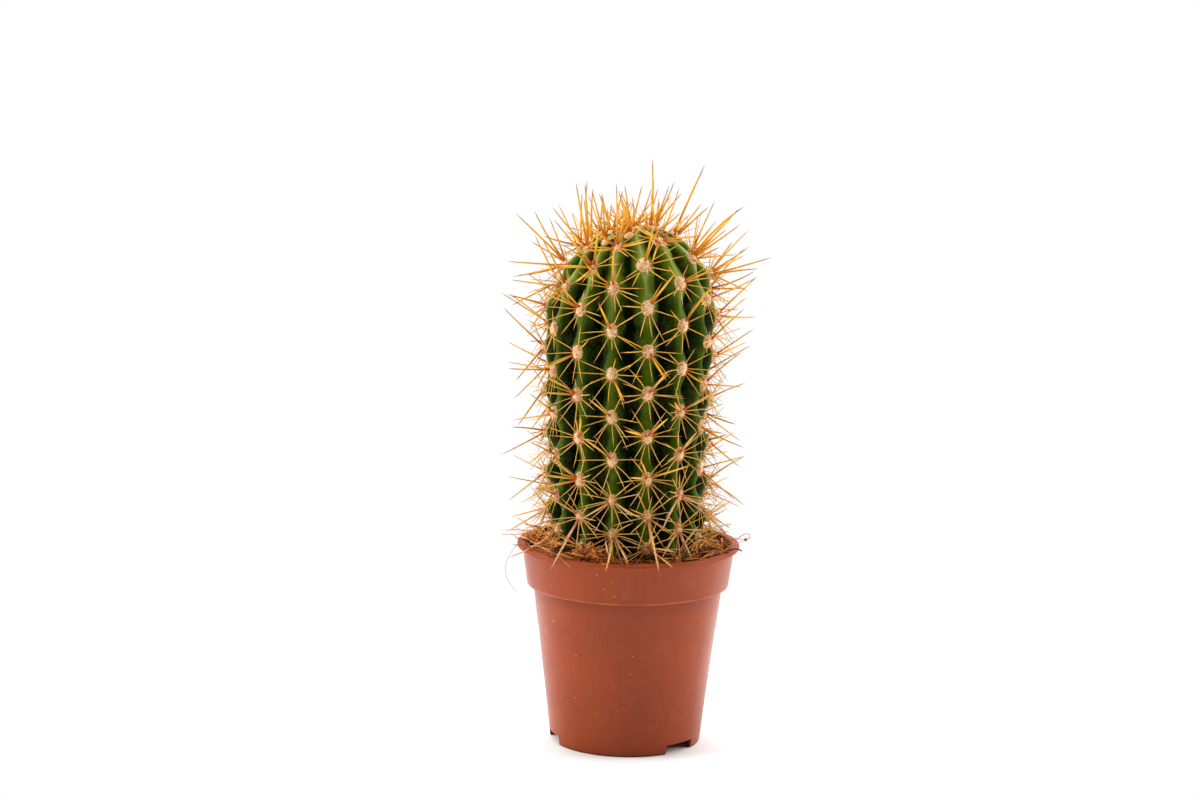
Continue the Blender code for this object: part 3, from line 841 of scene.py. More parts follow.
def make_drain_cutter(index):
    cutter = start_piece(
        "drain_cutter", bpy.ops.mesh.primitive_cylinder_add, vertices=32, radius=DRAIN_RADIUS,
        depth=4.0 * MM, location=around(DRAIN_CIRCLE, 360.0 * index / DRAIN_COUNT, FOOT_RECESS),
    )
    bpy.ops.mesh.bevel(offset=0.1 * MM, segments=1)
    bpy.ops.object.mode_set(mode="OBJECT")
    return cutter


class CACTUS_OT_pot(Operator):
    """Turn the pot, and cut its foot notches and drain holes"""

    bl_idname = "cactus.pot"
    bl_label = "Pot"

    def execute(self, context):
        settings = context.scene.cactus_pot
        pot = spin_outline("nursery_pot", pot_outline(settings.corner_radius), POT_STEPS, closed=True)
        for angle in NOTCH_ANGLES:
            cut_away(pot, make_notch_cutter(angle))
        for index in range(DRAIN_COUNT):
            cut_away(pot, make_drain_cutter(index))
        select_only(pot)
        bpy.ops.object.shade_smooth_by_angle(angle=math.radians(32.0))
        dress(pot, plastic_material(settings), "pot_plastic", "pot")
        return {"FINISHED"}


def wall_point(angle, z):
    """A point on the pot's outer wall."""
    if z > BAND_BOTTOM:
        share = (z - BAND_BOTTOM) / (POT_HEIGHT - LIP_THICKNESS - BAND_BOTTOM)
        return around(BAND_BOTTOM_RADIUS + (BAND_TOP_RADIUS - BAND_BOTTOM_RADIUS) * share, angle, z)
    return around(body_radius(z), angle, z)


class CACTUS_OT_specks(Operator):
    """Stick small crumbs of peat to the outside of the pot"""

    bl_idname = "cactus.specks"
    bl_label = "Specks on the pot"

    def execute(self, context):
        settings = context.scene.cactus_pot
        draw = random.Random(41)
        lump = model_lump()
        pile = Pile()
        for _ in range(settings.specks):
            angle = draw.choice((-35.0, -20.0, 10.0, 120.0, 200.0)) + draw.gauss(0.0, 24.0)
            z = draw.uniform(1.0, 47.5) * MM
            size = settings.speck_size * draw.uniform(0.2, 0.5) * draw.uniform(0.5, 1.0)
            turn = Matrix.Rotation(draw.uniform(0.0, 6.28), 3, Vector((draw.random(), 0.4, draw.random())))
            flat = lump.points @ np.array(turn) * size
            out = np.array(around(1.0, angle))
            flat = flat - np.outer(flat @ out * 0.45, out)
            tone = draw.choice((0.0, 0.05, 0.1, 0.3, 0.85))
            pile.add(lump, flat + np.array(wall_point(angle, z)), tone=tone)
        dress(pile.build("crumbs_on_pot"), coir_material(context.scene.cactus_peat), "coir")
        return {"FINISHED"}


# ---------------------------------------------------------------- peat and coir

def peat_outline():
    """Half of the peat's section: up the wall, over the top and into the hollow round the stem's foot."""
    bottom = FOOT_RECESS + WALL + GAP
    wall = inner_radius(PEAT_LEVEL) - 2.0 * GAP
    edge = PEAT_LINE_RADIUS - 4.0 * MM
    steps = 46
    return [
        (0.0, bottom),
        (inner_radius(bottom) - 2.0 * GAP, bottom),
        (inner_radius(BAND_BOTTOM) - 2.0 * GAP, BAND_BOTTOM + WALL + GAP),
        *((wall + (edge - wall) * i / steps, PEAT_LEVEL) for i in range(steps + 1)),
        (ROOT_RADIUS + GAP, ROOT_BOTTOM - 2.0 * GAP),
        (0.0, ROOT_BOTTOM - 2.0 * GAP),
    ]


class CACTUS_OT_peat(Operator):
    """Fill the pot with peat, lumpy on top, and strew crumbs on it"""

    bl_idname = "cactus.peat"
    bl_label = "Peat"

    def execute(self, context):
        settings = context.scene.cactus_peat
        material = peat_material(settings)
        peat = spin_outline("peat", peat_outline(), PEAT_STEPS)
        points = points_of(peat)
        for point in points:
            if abs(point[2] - PEAT_LEVEL) < 0.01 * MM:
                rough = noise.fractal(Vector(point) * 520.0, 0.9, 2.2, 5)
                point[2] = peat_height(point[0], point[1]) + rough * 0.55 * MM
        move_points(peat, points)
        peat.data.shade_smooth()
        dress(peat, material, "peat", "soil")
        draw = random.Random(52)
        lump = model_lump()
        pile = Pile()
        for _ in range(settings.crumbs):
            spot = around(draw.uniform(17.0, 24.4) * MM, draw.uniform(0.0, 360.0))
            size = settings.crumb_size * draw.uniform(0.12, 0.5) * draw.uniform(0.6, 1.0)
            stretch = np.array([draw.uniform(0.6, 1.3), draw.uniform(0.6, 1.3), draw.uniform(0.5, 0.9)])
            height = peat_height(spot.x, spot.y) + size * 0.25
            pile.add(lump, lump.points * stretch * size + np.array((spot.x, spot.y, height)))
        dress(pile.build("peat_crumbs"), material, "peat")
        return {"FINISHED"}


def curled_path(draw, start, way, reach, curl, steps=7):
    """Points of a strand that starts along a way and keeps turning a little."""
    way = Vector(way).normalized()
    axis = Vector(three(draw)).normalized()
    path = [Vector(start)]
    for _ in range(steps - 1):
        turn = Matrix.Rotation(curl / steps * draw.uniform(0.4, 1.6), 3, axis)
        way = (turn @ way).normalized()
        path.append(path[-1] + way * (reach / (steps - 1)))
    return path


def drawn_in(point, radius, limit):
    """A point brought in from a radius to a limit."""
    return Vector((point.x * limit / radius, point.y * limit / radius, point.z))


def keep_inside(path, clearance=0.25 * MM):
    """Lift a strand's points off the peat, and bring them in from the pot's wall below its lip."""
    kept = []
    for point in path:
        radius = math.hypot(point.x, point.y)
        limit = LIP_INNER_RADIUS - clearance
        height = peat_height(point.x, point.y) + clearance
        if radius > FIBRE_REACH:
            point = drawn_in(point, radius, FIBRE_REACH)
        if radius > limit and point.z < POT_HEIGHT + clearance:
            point = drawn_in(point, radius, limit)
        elif radius > limit:
            height = POT_HEIGHT + clearance
        kept.append(Vector((point.x, point.y, max(point.z, height))))
    return kept


# Beds of loose fibres, wads and long hairs. Angles and spans are in degrees, the other sizes in mm.
FibreBed = namedtuple("FibreBed", "share angle spread rise tones")
FIBRE_BEDS = (
    FibreBed(0.15, -74, 24, 4.4, (0.5, 1)),
    FibreBed(0.08, -58, 24, 3, (0, 0.5)),
    FibreBed(0.08, -20, 18, 2.4, (0.1, 0.9)),
    FibreBed(0.08, 0, 42, 3.4, (0.05, 0.75)),
    FibreBed(0.07, 76, 28, 4.8, (0.4, 1)),
    FibreBed(0.04, 74, 30, 3.8, (0, 0.5)),
    FibreBed(0.05, 15, 18, 1.8, (0.1, 0.9)),
    FibreBed(0.24, 180, 80, 2.4, (0, 0.9)),
)

Clump = namedtuple("Clump", "name node angle radius size fibres tones")
CLUMPS = (
    Clump("clump_front_left", "coir_clump_01", -26, 22, (6.8, 3.4, 5.6), 400, (0.2, 0.95)),
    Clump("clump_left", "coir_clump_02", -58, 23, (4, 2.4, 1.6), 120, (0.3, 0.9)),
    Clump("clump_front_right", "coir_clump_03", 20, 22.9, (4.6, 2.4, 1.5), 120, (0.3, 0.9)),
    Clump("clump_back", "coir_clump_04", 150, 22.9, (4.4, 2.4, 1.6), 120, (0.1, 0.7)),
)

HAIR_STEPS = 12
Hair = namedtuple("Hair", "name node angle radius span rise thickness")
HAIRS = (
    Hair("fibre_front_right", "coir_fibre_01", 52, 23.3, 34, 1.6, 0.24),
    Hair("fibre_right", "coir_fibre_02", 92, 23.2, 30, 2.2, 0.24),
    Hair("fibre_back_left", "coir_fibre_03", -110, 23.2, 36, 1.8, 0.24),
)

# Fine hairs that have strayed over the lip. Points, thicknesses and blobs at their ends are in mm.
Stray = namedtuple("Stray", "thickness tone blob points")
STRAYS = (
    Stray(0.05, 0.4, 0.0, (
        (-25.6, -7, 51.6), (-28.6, -7.5, 48.8), (-30.4, -8, 44.8), (-29.6, -8.5, 41.2), (-27.2, -9, 38.6),
    )),
    Stray(0.12, 0.62, 0.4, (
        (20, -8, 48.6), (23.6, -8.8, 51.4), (26.2, -9.4, 52.4), (27.6, -9.6, 54), (29.2, -9.6, 54.4),
        (29.7, -9.6, 53.4), (28.5, -9.4, 52.7),
    )),
    Stray(0.1, 0.8, 0.0, ((21, -7.6, 48.8), (24, -8.4, 52.4), (26.6, -9.2, 52.9), (28.4, -9.4, 52.6))),
    Stray(0.24, 0.05, 0.0, ((23.4, -10.6, 49.6), (25, -11.2, 50.6), (26.4, -11.6, 50.9), (27.6, -12, 50.4))),
    Stray(0.035, 1.0, 0.0, (
        (-17.4, -20.6, 50), (-16.6, -22, 50.4), (-15.4, -23.6, 49.6), (-13.6, -24.9, 48.2),
    )),
)


def strew_fibres(pile, strand, draw, count, bed):
    """Lay loose fibres on the peat round an angle, more or less along the rim."""
    for _ in range(count):
        where = bed.angle + draw.uniform(-bed.spread, bed.spread)
        spot = around(draw.uniform(17.5, 25.8) * MM, where)
        heading = where + 90.0 + draw.gauss(0.0, 42.0)
        if draw.random() < 0.5:
            heading += 180.0
        start = on_peat(spot, draw.uniform(0.3, bed.rise) * MM)
        way = around(1.0, heading) + Vector((0.0, 0.0, draw.uniform(-0.1, 0.3)))
        shred = draw.random() < 0.22
        reach = draw.uniform(2.0, 5.0) if shred else draw.uniform(4.0, 11.0)
        path = curled_path(draw, start, way, reach * MM, draw.uniform(0.1, 1.1))
        thickness = (draw.uniform(0.15, 0.32) if shred else draw.uniform(0.06, 0.12)) * MM
        placed = lay_along(strand, keep_inside(path), thickness, 0.3 if shred else 1.0)
        pile.add(strand, placed, tone=draw.uniform(*bed.tones))


def softened(path, rounds=2):
    """A path with its corners cut."""
    for _ in range(rounds):
        cut = [path[0]]
        for here, there in zip(path, path[1:]):
            cut += [here.lerp(there, 0.25), here.lerp(there, 0.75)]
        path = cut + [path[-1]]
    return path


def lay_stray(pile, stray, strand, lump):
    path = softened([Vector(point) * MM for point in stray.points])
    pile.add(strand, lay_along(strand, path, stray.thickness * MM), tone=stray.tone)
    if stray.blob:
        pile.add(lump, lump.points * stray.blob * MM + np.array(path[-1]), tone=0.22)


def lay_clump(pile, clump, strand, lump, draw):
    """A wad of tangled coir round a lumpy core."""
    half = np.array(clump.size) * MM / 2.0
    turn = np.array(Matrix.Rotation(math.radians(clump.angle), 3, "Z"))
    spot = around(clump.radius * MM, clump.angle)
    centre = np.array((spot.x, spot.y, peat_height(spot.x, spot.y) + half[2] + GAP))
    pile.add(lump, (lump.points * half * 0.72) @ turn.T + centre, tone=0.0)
    for _ in range(clump.fibres):
        way = np.array(three(draw))
        way /= np.linalg.norm(way)
        start = (way * half * draw.uniform(0.45, 0.85)) @ turn.T + centre
        heading = turn @ three(draw, 1.0, 0.5, 0.3)
        path = curled_path(draw, start, heading, draw.uniform(1.2, 3.6) * MM, draw.uniform(0.5, 2.4))
        shred = draw.random() < 0.45
        thickness = (draw.uniform(0.18, 0.36) if shred else draw.uniform(0.06, 0.13)) * MM
        tone = draw.uniform(*clump.tones) if draw.random() < 0.85 else 1.0
        pile.add(strand, lay_along(strand, keep_inside(path), thickness, 0.35 if shred else 1.0), tone=tone)


def lay_hair(pile, hair, strand):
    """A long fibre that lies along the rim inside the pot and arches up in its middle."""
    path = []
    for i in range(HAIR_STEPS + 1):
        share = i / HAIR_STEPS
        spot = around(hair.radius * MM, hair.angle + hair.span * (share - 0.5))
        path.append(on_peat(spot, 3.0 * GAP + hair.rise * MM * math.sin(math.pi * share)))
    pile.add(strand, lay_along(strand, path, hair.thickness * MM), tone=0.7)


class CACTUS_OT_coir(Operator):
    """Lay loose fibres, wads of coir and stray hairs round the stem's foot"""

    bl_idname = "cactus.coir"
    bl_label = "Coir"

    def execute(self, context):
        settings = context.scene.cactus_peat
        material = coir_material(settings)
        draw = random.Random(63)
        strand = model_strand(
            5, (0, 0.7), (0.17, 1), (0.33, 0.95), (0.5, 1), (0.67, 0.9), (0.83, 0.75), (1, 0),
        )
        levels = [(i / HAIR_STEPS, 1.0 - 0.3 * i / HAIR_STEPS) for i in range(HAIR_STEPS)]
        long_strand = model_strand(6, *levels, (1, 0))
        lump = model_lump()
        pile = Pile()
        for bed in FIBRE_BEDS:
            strew_fibres(pile, strand, draw, int(settings.fibres * bed.share), bed)
        dress(pile.build("loose_coir"), material, "coir")
        pile = Pile()
        for stray in STRAYS:
            lay_stray(pile, stray, long_strand, lump)
        dress(pile.build("stray_hairs"), material, "coir")
        for clump in CLUMPS:
            pile = Pile()
            lay_clump(pile, clump, strand, lump, draw)
            dress(pile.build(clump.name), material, "coir", clump.node)
        for hair in HAIRS:
            pile = Pile()
            lay_hair(pile, hair, long_strand)
            dress(pile.build(hair.name), material, "coir", hair.node)
        return {"FINISHED"}


# ---------------------------------------------------------------- stem

def stem_outline():
    """Half of the stem's section, from the middle of its foot to its growing tip."""
    root = [ROOT_BOTTOM + (PEAT_LEVEL - ROOT_BOTTOM) * (i / 8.0) ** 2 for i in range(8)]
    column = [PEAT_LEVEL + (COLUMN_TOP - PEAT_LEVEL) * i / 92.0 for i in range(92)]
    outline = [(0.0, ROOT_BOTTOM), *((crest_radius(z), z) for z in root + column)]
    power = 2.0 / DOME_POWER
    for i in range(62):
        turn = math.pi / 2.0 * i / 62.0
        rise = (APEX - COLUMN_TOP) * math.sin(turn) ** power
        outline.append((CREST_RADIUS * math.cos(turn) ** power, COLUMN_TOP + rise))
    return outline + [(0.0, APEX)]


def rib_phases(rib, heights):
    """Where heights lie between the areoles of a rib, in whole spacings."""
    shift = (RIB_SHIFT * rib) % 1.0
    counts = np.arange(-5, 12) - shift
    levels = np.array([areole_level(count) for count in counts])
    order = np.argsort(levels)
    return np.interp(heights, levels[order], counts[order] + shift)


def shape_ribs(stem, settings):
    """Press furrows into the turned stem, swell its ribs at each areole, and let it grow."""
    points = points_of(stem)
    x, y, z = points.T
    radius = np.hypot(x, y)
    ribs = (np.degrees(np.arctan2(x, -y)) - FIRST_RIB_ANGLE) / RIB_PITCH
    nearest = np.round(ribs)
    index = nearest.astype(int) % RIBS
    share = np.abs(ribs - nearest) * 2.0
    beat = np.zeros(len(points))
    for rib in range(RIBS):
        own = index == rib
        beat[own] = np.cos(2.0 * np.pi * rib_phases(rib, z[own]))
    rise = furrow_rise(z)
    fade = np.minimum(radius / CREST_RADIUS, 1.0)
    fall = share ** (FLANK_POWER + 0.75 * beat)
    depth = settings.rib_depth * rise * fade ** FURROW_FADE
    slack = 1.0 - 0.5 * ramp(z, 76.0 * MM, 100.0 * MM)
    swell = settings.swelling * slack * rise * fade * (beat - 1.0) * 0.5
    wobble = np.array([noise.noise(Vector(point) * 160.0) for point in points]) * SKIN_WOBBLE * rise * fade
    pleat = np.sin(z / MM * 5.3 + 4.0 * share + index * 1.7) * SKIN_PLEAT * rise * share
    new = radius - depth * fall + swell * (1.0 - share ** 2) + wobble * (1.0 - share) + pleat
    scale = np.where(radius > 0.0, np.maximum(new, 0.0) / np.maximum(radius, 1e-9), 1.0)
    points[:, 0] *= scale
    points[:, 1] *= scale
    move_points(stem, grown(points))
    high = np.clip((z - 95.0 * MM) / (25.0 * MM), 0.0, 1.0)
    mark_points(stem, furrow=fall * rise, bloom=0.35 + 0.65 * high)


class CACTUS_OT_stem(Operator):
    """Turn the stem, press its ribs and furrows, and lean it"""

    bl_idname = "cactus.stem"
    bl_label = "Stem"

    def execute(self, context):
        settings = context.scene.cactus_stem
        stem = spin_outline("ribbed_stem", stem_outline(), STEM_STEPS)
        shape_ribs(stem, settings)
        stem.data.transform(leaned())
        stem.data.shade_smooth()
        dress(stem, skin_material(settings), "green_skin", "stem")
        return {"FINISHED"}


# ---------------------------------------------------------------- spines and wool

# Turns go round a pad from straight up its rib. Tilts rise from the pad's plane. Lengths are in mm.
Ring = namedtuple("Ring", "turns tilts lengths foot tones")
Spine = namedtuple("Spine", "turn tilt length radius tone foot")

# A zone's rings hold the small radial spines. An areole also grows one central spine, and as many
# extra ones as spare says. Pads are half sizes in mm.
Zone = namedtuple("Zone", "lowest rings central extra spare pad paleness worn")

# Wear gives the share of radial spines that are kept, and factors for their size and tone.
Wear = namedtuple("Wear", "kept size tone")
FRESH = Wear(0.89, 1.0, 1.0)

ZONES = (
    Zone(
        120.0 * MM,
        (
            Ring((92, -92, 64, -64), (16, 34), (7.4, 10.4), 0.3, (0.0, 0.3)),
            Ring((146, -146, 118, -118), (16, 34), (6.0, 8.6), 0.25, (0.0, 0.4)),
            Ring((34, -34), (24, 50), (8.0, 11.5), 0.5, (0.0, 0.2)),
            Ring((180,), (16, 34), (2.8, 5.0), 0.3, (0.2, 0.5)),
        ),
        Ring((-25, 5, 30), (38, 66), (11.0, 15.0), 0.75, (0.0, 0.1)),
        Ring((-80, 80, 110, -110), (26, 52), (9.0, 13.0), 1.0, (0.0, 0.12)),
        (1, 2, 2, 3), (1.6, 1.7), 0.8, FRESH,
    ),
    Zone(
        93.0 * MM,
        (
            Ring((90, -90), (12, 34), (7.2, 9.4), 0.25, (0.1, 0.5)),
            Ring((62, -62), (14, 36), (7.2, 9.6), 0.3, (0.0, 0.4)),
            Ring((114, -114), (14, 36), (6.8, 9.0), 0.25, (0.2, 0.6)),
            Ring((150, -150), (14, 36), (6.4, 8.8), 0.25, (0.4, 0.9)),
            Ring((176, 24), (16, 38), (3.4, 7.4), 0.3, (0.2, 0.7)),
        ),
        Ring((-28, -8, 12, 32), (40, 68), (11.0, 15.0), 1.0, (0.0, 0.1)),
        Ring((-75, 75, 100, -100, 150), (32, 62), (9.0, 13.5), 0.9, (0.0, 0.3)),
        (0, 1, 1, 2), (1.4, 1.75), 0.6, Wear(0.66, 0.95, 0.8),
    ),
    Zone(
        66.0 * MM,
        (
            Ring((90, -90), (12, 34), (6.0, 8.2), 0.25, (0.3, 0.8)),
            Ring((66, -66, 108, -108), (12, 36), (6.0, 8.4), 0.25, (0.2, 0.8)),
            Ring((132, -132, 156, -156), (12, 36), (5.8, 8.2), 0.25, (0.5, 1.0)),
            Ring((178,), (14, 40), (5.0, 7.4), 0.3, (0.5, 1.0)),
            Ring((32, -32), (18, 42), (6.0, 9.0), 0.3, (0.2, 0.7)),
        ),
        Ring((-150, 150, 178, -35, 35), (36, 64), (10.0, 14.0), 1.0, (0.2, 0.7)),
        Ring((-105, 105, 70, -70), (30, 62), (9.0, 13.5), 0.8, (0.1, 0.6)),
        (0, 1, 1, 2), (1.35, 1.8), 0.35, Wear(0.58, 0.88, 0.6),
    ),
    Zone(
        0.0,
        (
            Ring((76, 98, -76, -98), (12, 38), (6.4, 9.6), 0.2, (0.4, 1.2)),
            Ring((128, -128, 158, -158), (14, 38), (6.0, 9.4), 0.2, (0.8, 1.4)),
            Ring((28, -28, 52, -52), (18, 40), (6.0, 9.4), 0.25, (0.3, 1.1)),
            Ring((4, 114, -114, 172), (20, 48), (6.5, 9.8), 0.25, (0.2, 0.9)),
        ),
        Ring((-160, 158, 180), (44, 66), (10.0, 13.5), 0.5, (1.0, 1.5)),
        Ring((-60, 62, 110, -112, 0), (30, 62), (9.0, 13.5), 0.7, (0.8, 1.4)),
        (1, 1, 2, 3), (1.1, 1.55), 0.2, Wear(0.66, 0.8, 0.45),
    ),
)

# Ribs that have lost more of their small spines.
WORN_RIBS = (3, 4, 5, 10, 11, 12, 13)

# Strong spines that stand out, as turn, tilt and length, by rib and by areole from the rib's top.
STRONG = {
    (0, 1): ((7, 36, 11.0), (-50, 34, 9.6)),
    (0, 2): ((-12, 46, 10.4),),
    (0, 3): ((145, 34, 7.6),),
    (0, 4): ((-40, 40, 8.4),),
    (0, 6): ((112, 26, 9.1), (-120, 29, 8.4)),
    (0, 7): ((174, 64, 13.0), (130, 30, 10.2)),
    (1, 0): ((14, 42, 10.5),),
    (1, 1): ((35, 34, 11.0),),
    (1, 2): ((155, 40, 8.6),),
    (1, 3): ((30, 36, 8.6),),
    (1, 6): ((178, 45, 14.7),),
    (2, 1): ((76, 36, 8.4),),
    (2, 2): ((28, 28, 12.2),),
    (2, 3): ((130, 34, 6.8),),
    (2, 6): ((116, 40, 7.9), (-133, 16, 10.0)),
    (2, 7): ((173, 38, 8.1), (-129, 18, 8.6)),
    (3, 1): ((70, 44, 13.0),),
    (13, 7): ((-134, 58, 13.6),),
    (14, 1): ((-15, 52, 9.5), (-70, 30, 9.2)),
    (14, 2): ((-120, 34, 9.6),),
    (14, 6): ((-172, 45, 14.8), (-45, 34, 12.5)),
}

# Spines that reach out at the top, as ways in mm, by rib and by their areole's height in mm.
REACHES = {
    (0, 124.7): ((-8, -5, 0.6), (2.2, -3, 11)),
    (0.6, 127.2): ((-2.4, 2, 10), (-1, 0, 11.4), (-4.4, -1, 6.6), (0.8, -2, 6.8), (2.9, 1, 11.2)),
    (1.6, 128.3): ((-3.4, 0, 8.6), (-0.4, 1, 7.4), (3.6, 0, 9.4)),
    (2, 125.3): ((9.6, -4, 1.4), (-1.6, -4, 11), (-2, -6.5, -5)),
    (3, 120.9): ((12.2, -2, 12), (11, 2, 11.2), (8, 1, 6.4), (11.2, 3, 7.4)),
    (3, 127.8): ((0.3, 1, 16.3), (3.7, 0, 10), (5, 0, 11.2), (6.8, 2, 8)),
    (4, 116.4): ((9.4, 2, 5.8), (14.2, -1, 4.8), (11.2, -3, 1.8), (5.4, 1, 7)),
    (4, 125.9): ((7.5, 0, 16.6), (6, 2, 7.2), (7.4, -1, 6.8)),
    (4.5, 128.2): ((5.2, 0, 6.8), (2, 0, 9)),
    (10, 128.2): ((-3, 0, 8.8),),
    (12, 119): ((-12, 2, 11.6), (-7.5, 4, 12.2), (-8.2, 0, 5), (-13.4, 0, 1), (-12, -2.5, -2.4)),
    (12, 126.2): ((-0.9, 2, 13.6), (0.4, -1, 12)),
    (13, 124.1): ((-2.7, 0, 15.5), (-8, -2, 9.8), (-0.6, 3, 15)),
    (13, 128.2): ((-2, 0, 9.4), (2.6, 0, 9.8), (4.8, 1, 7)),
    (14, 119.6): ((-9, -5, 11.4), (-9.6, -7, 1.2)),
    (14, 126.3): ((-2.9, 1, 11.6), (-0.8, 0, 11.2), (1.6, 2, 8.6)),
}

# The youngest areoles crowd round the growing tip, and their spines stand up in a loose brush.
CROWN_RINGS = (
    Ring((80, -80, 150), (20, 58), (5.0, 10.0), 0.5, (0.0, 0.25)),
    Ring((20,), (34, 76), (5.0, 11.0), 1.0, (0.0, 0.1)),
)
CROWN_SKIRT = Ring((84, -84), (14, 46), (4.5, 8.5), 0.5, (0.0, 0.3))
CROWN_HEART = Ring(tuple(range(0, 360, 24)), (42, 82), (4.0, 8.0), 1.0, (0.0, 0.1))
CROWN_PAD = (1.35, 1.35)
CROWN_AREOLES = (
    (12, 126.2), (14, 126.3), (0.6, 127.2), (3, 127.8), (4, 125.9), (6, 126.4), (7.6, 127.0), (9, 126.3),
    (10.5, 127.0), (13, 128.2), (1.6, 128.3), (4.5, 128.2), (7.2, 128.2), (10, 128.2),
)


def stem_radius_at(point):
    """Distance of the skin from the axis at a point's angle and height."""
    crest = crest_radius(min(point.z, APEX))
    ribs = (math.degrees(math.atan2(point.x, -point.y)) - FIRST_RIB_ANGLE) / RIB_PITCH
    share = abs(ribs - round(ribs)) * 2.0
    fade = min(crest / CREST_RADIUS, 1.0) ** FURROW_FADE
    return crest - RIB_DEPTH * furrow_rise(point.z) * fade * share ** FLANK_POWER


def stands_clear(start, end):
    """Whether a spine clears the stem, the peat, the lip and the plant's reach."""
    lean = leaned()
    for share in (0.3, 0.5, 0.7, 0.85, 1.0):
        point = start.lerp(end, share)
        if point.z < APEX and math.hypot(point.x, point.y) < stem_radius_at(point) + SKIN_CLEARANCE:
            return False
        point = lean @ point
        radius = math.hypot(point.x, point.y)
        if radius > SPINE_REACH or point.z > SPINE_TOP:
            return False
        if radius > OUTSIDE_LIP:
            continue
        if radius > LIP_INNER_RADIUS - LIP_CLEARANCE and point.z < POT_HEIGHT + LIP_CLEARANCE:
            return False
        if point.z < peat_height(point.x, point.y) + PEAT_CLEARANCE:
            return False
    return True


def model_pad():
    """A soft dome, flat below, that the wool strands stand on."""
    piece = start_piece("pad", bpy.ops.mesh.primitive_uv_sphere_add, segments=16, ring_count=10, radius=1.0)
    bpy.ops.mesh.bisect(plane_co=(0.0, 0.0, -0.3), plane_no=(0.0, 0.0, 1.0), clear_inner=True, use_fill=True)
    return take_shape(piece)


class Nursery:
    """The shapes and materials that the plant's spines and wool are grown from."""

    def __init__(self, settings):
        self.settings = settings
        self.spine = model_strand(
            6, (0, 1.25), (0.03, 1.35), (0.09, 1), (0.35, 0.94), (0.65, 0.8), (0.88, 0.46), (1, 0),
        )
        self.strand = model_strand(3, (0, 1.0), (0.5, 0.8), (1, 0))
        self.dome = model_pad()
        self.horn = spine_material(settings)
        self.wool = wool_material(settings)


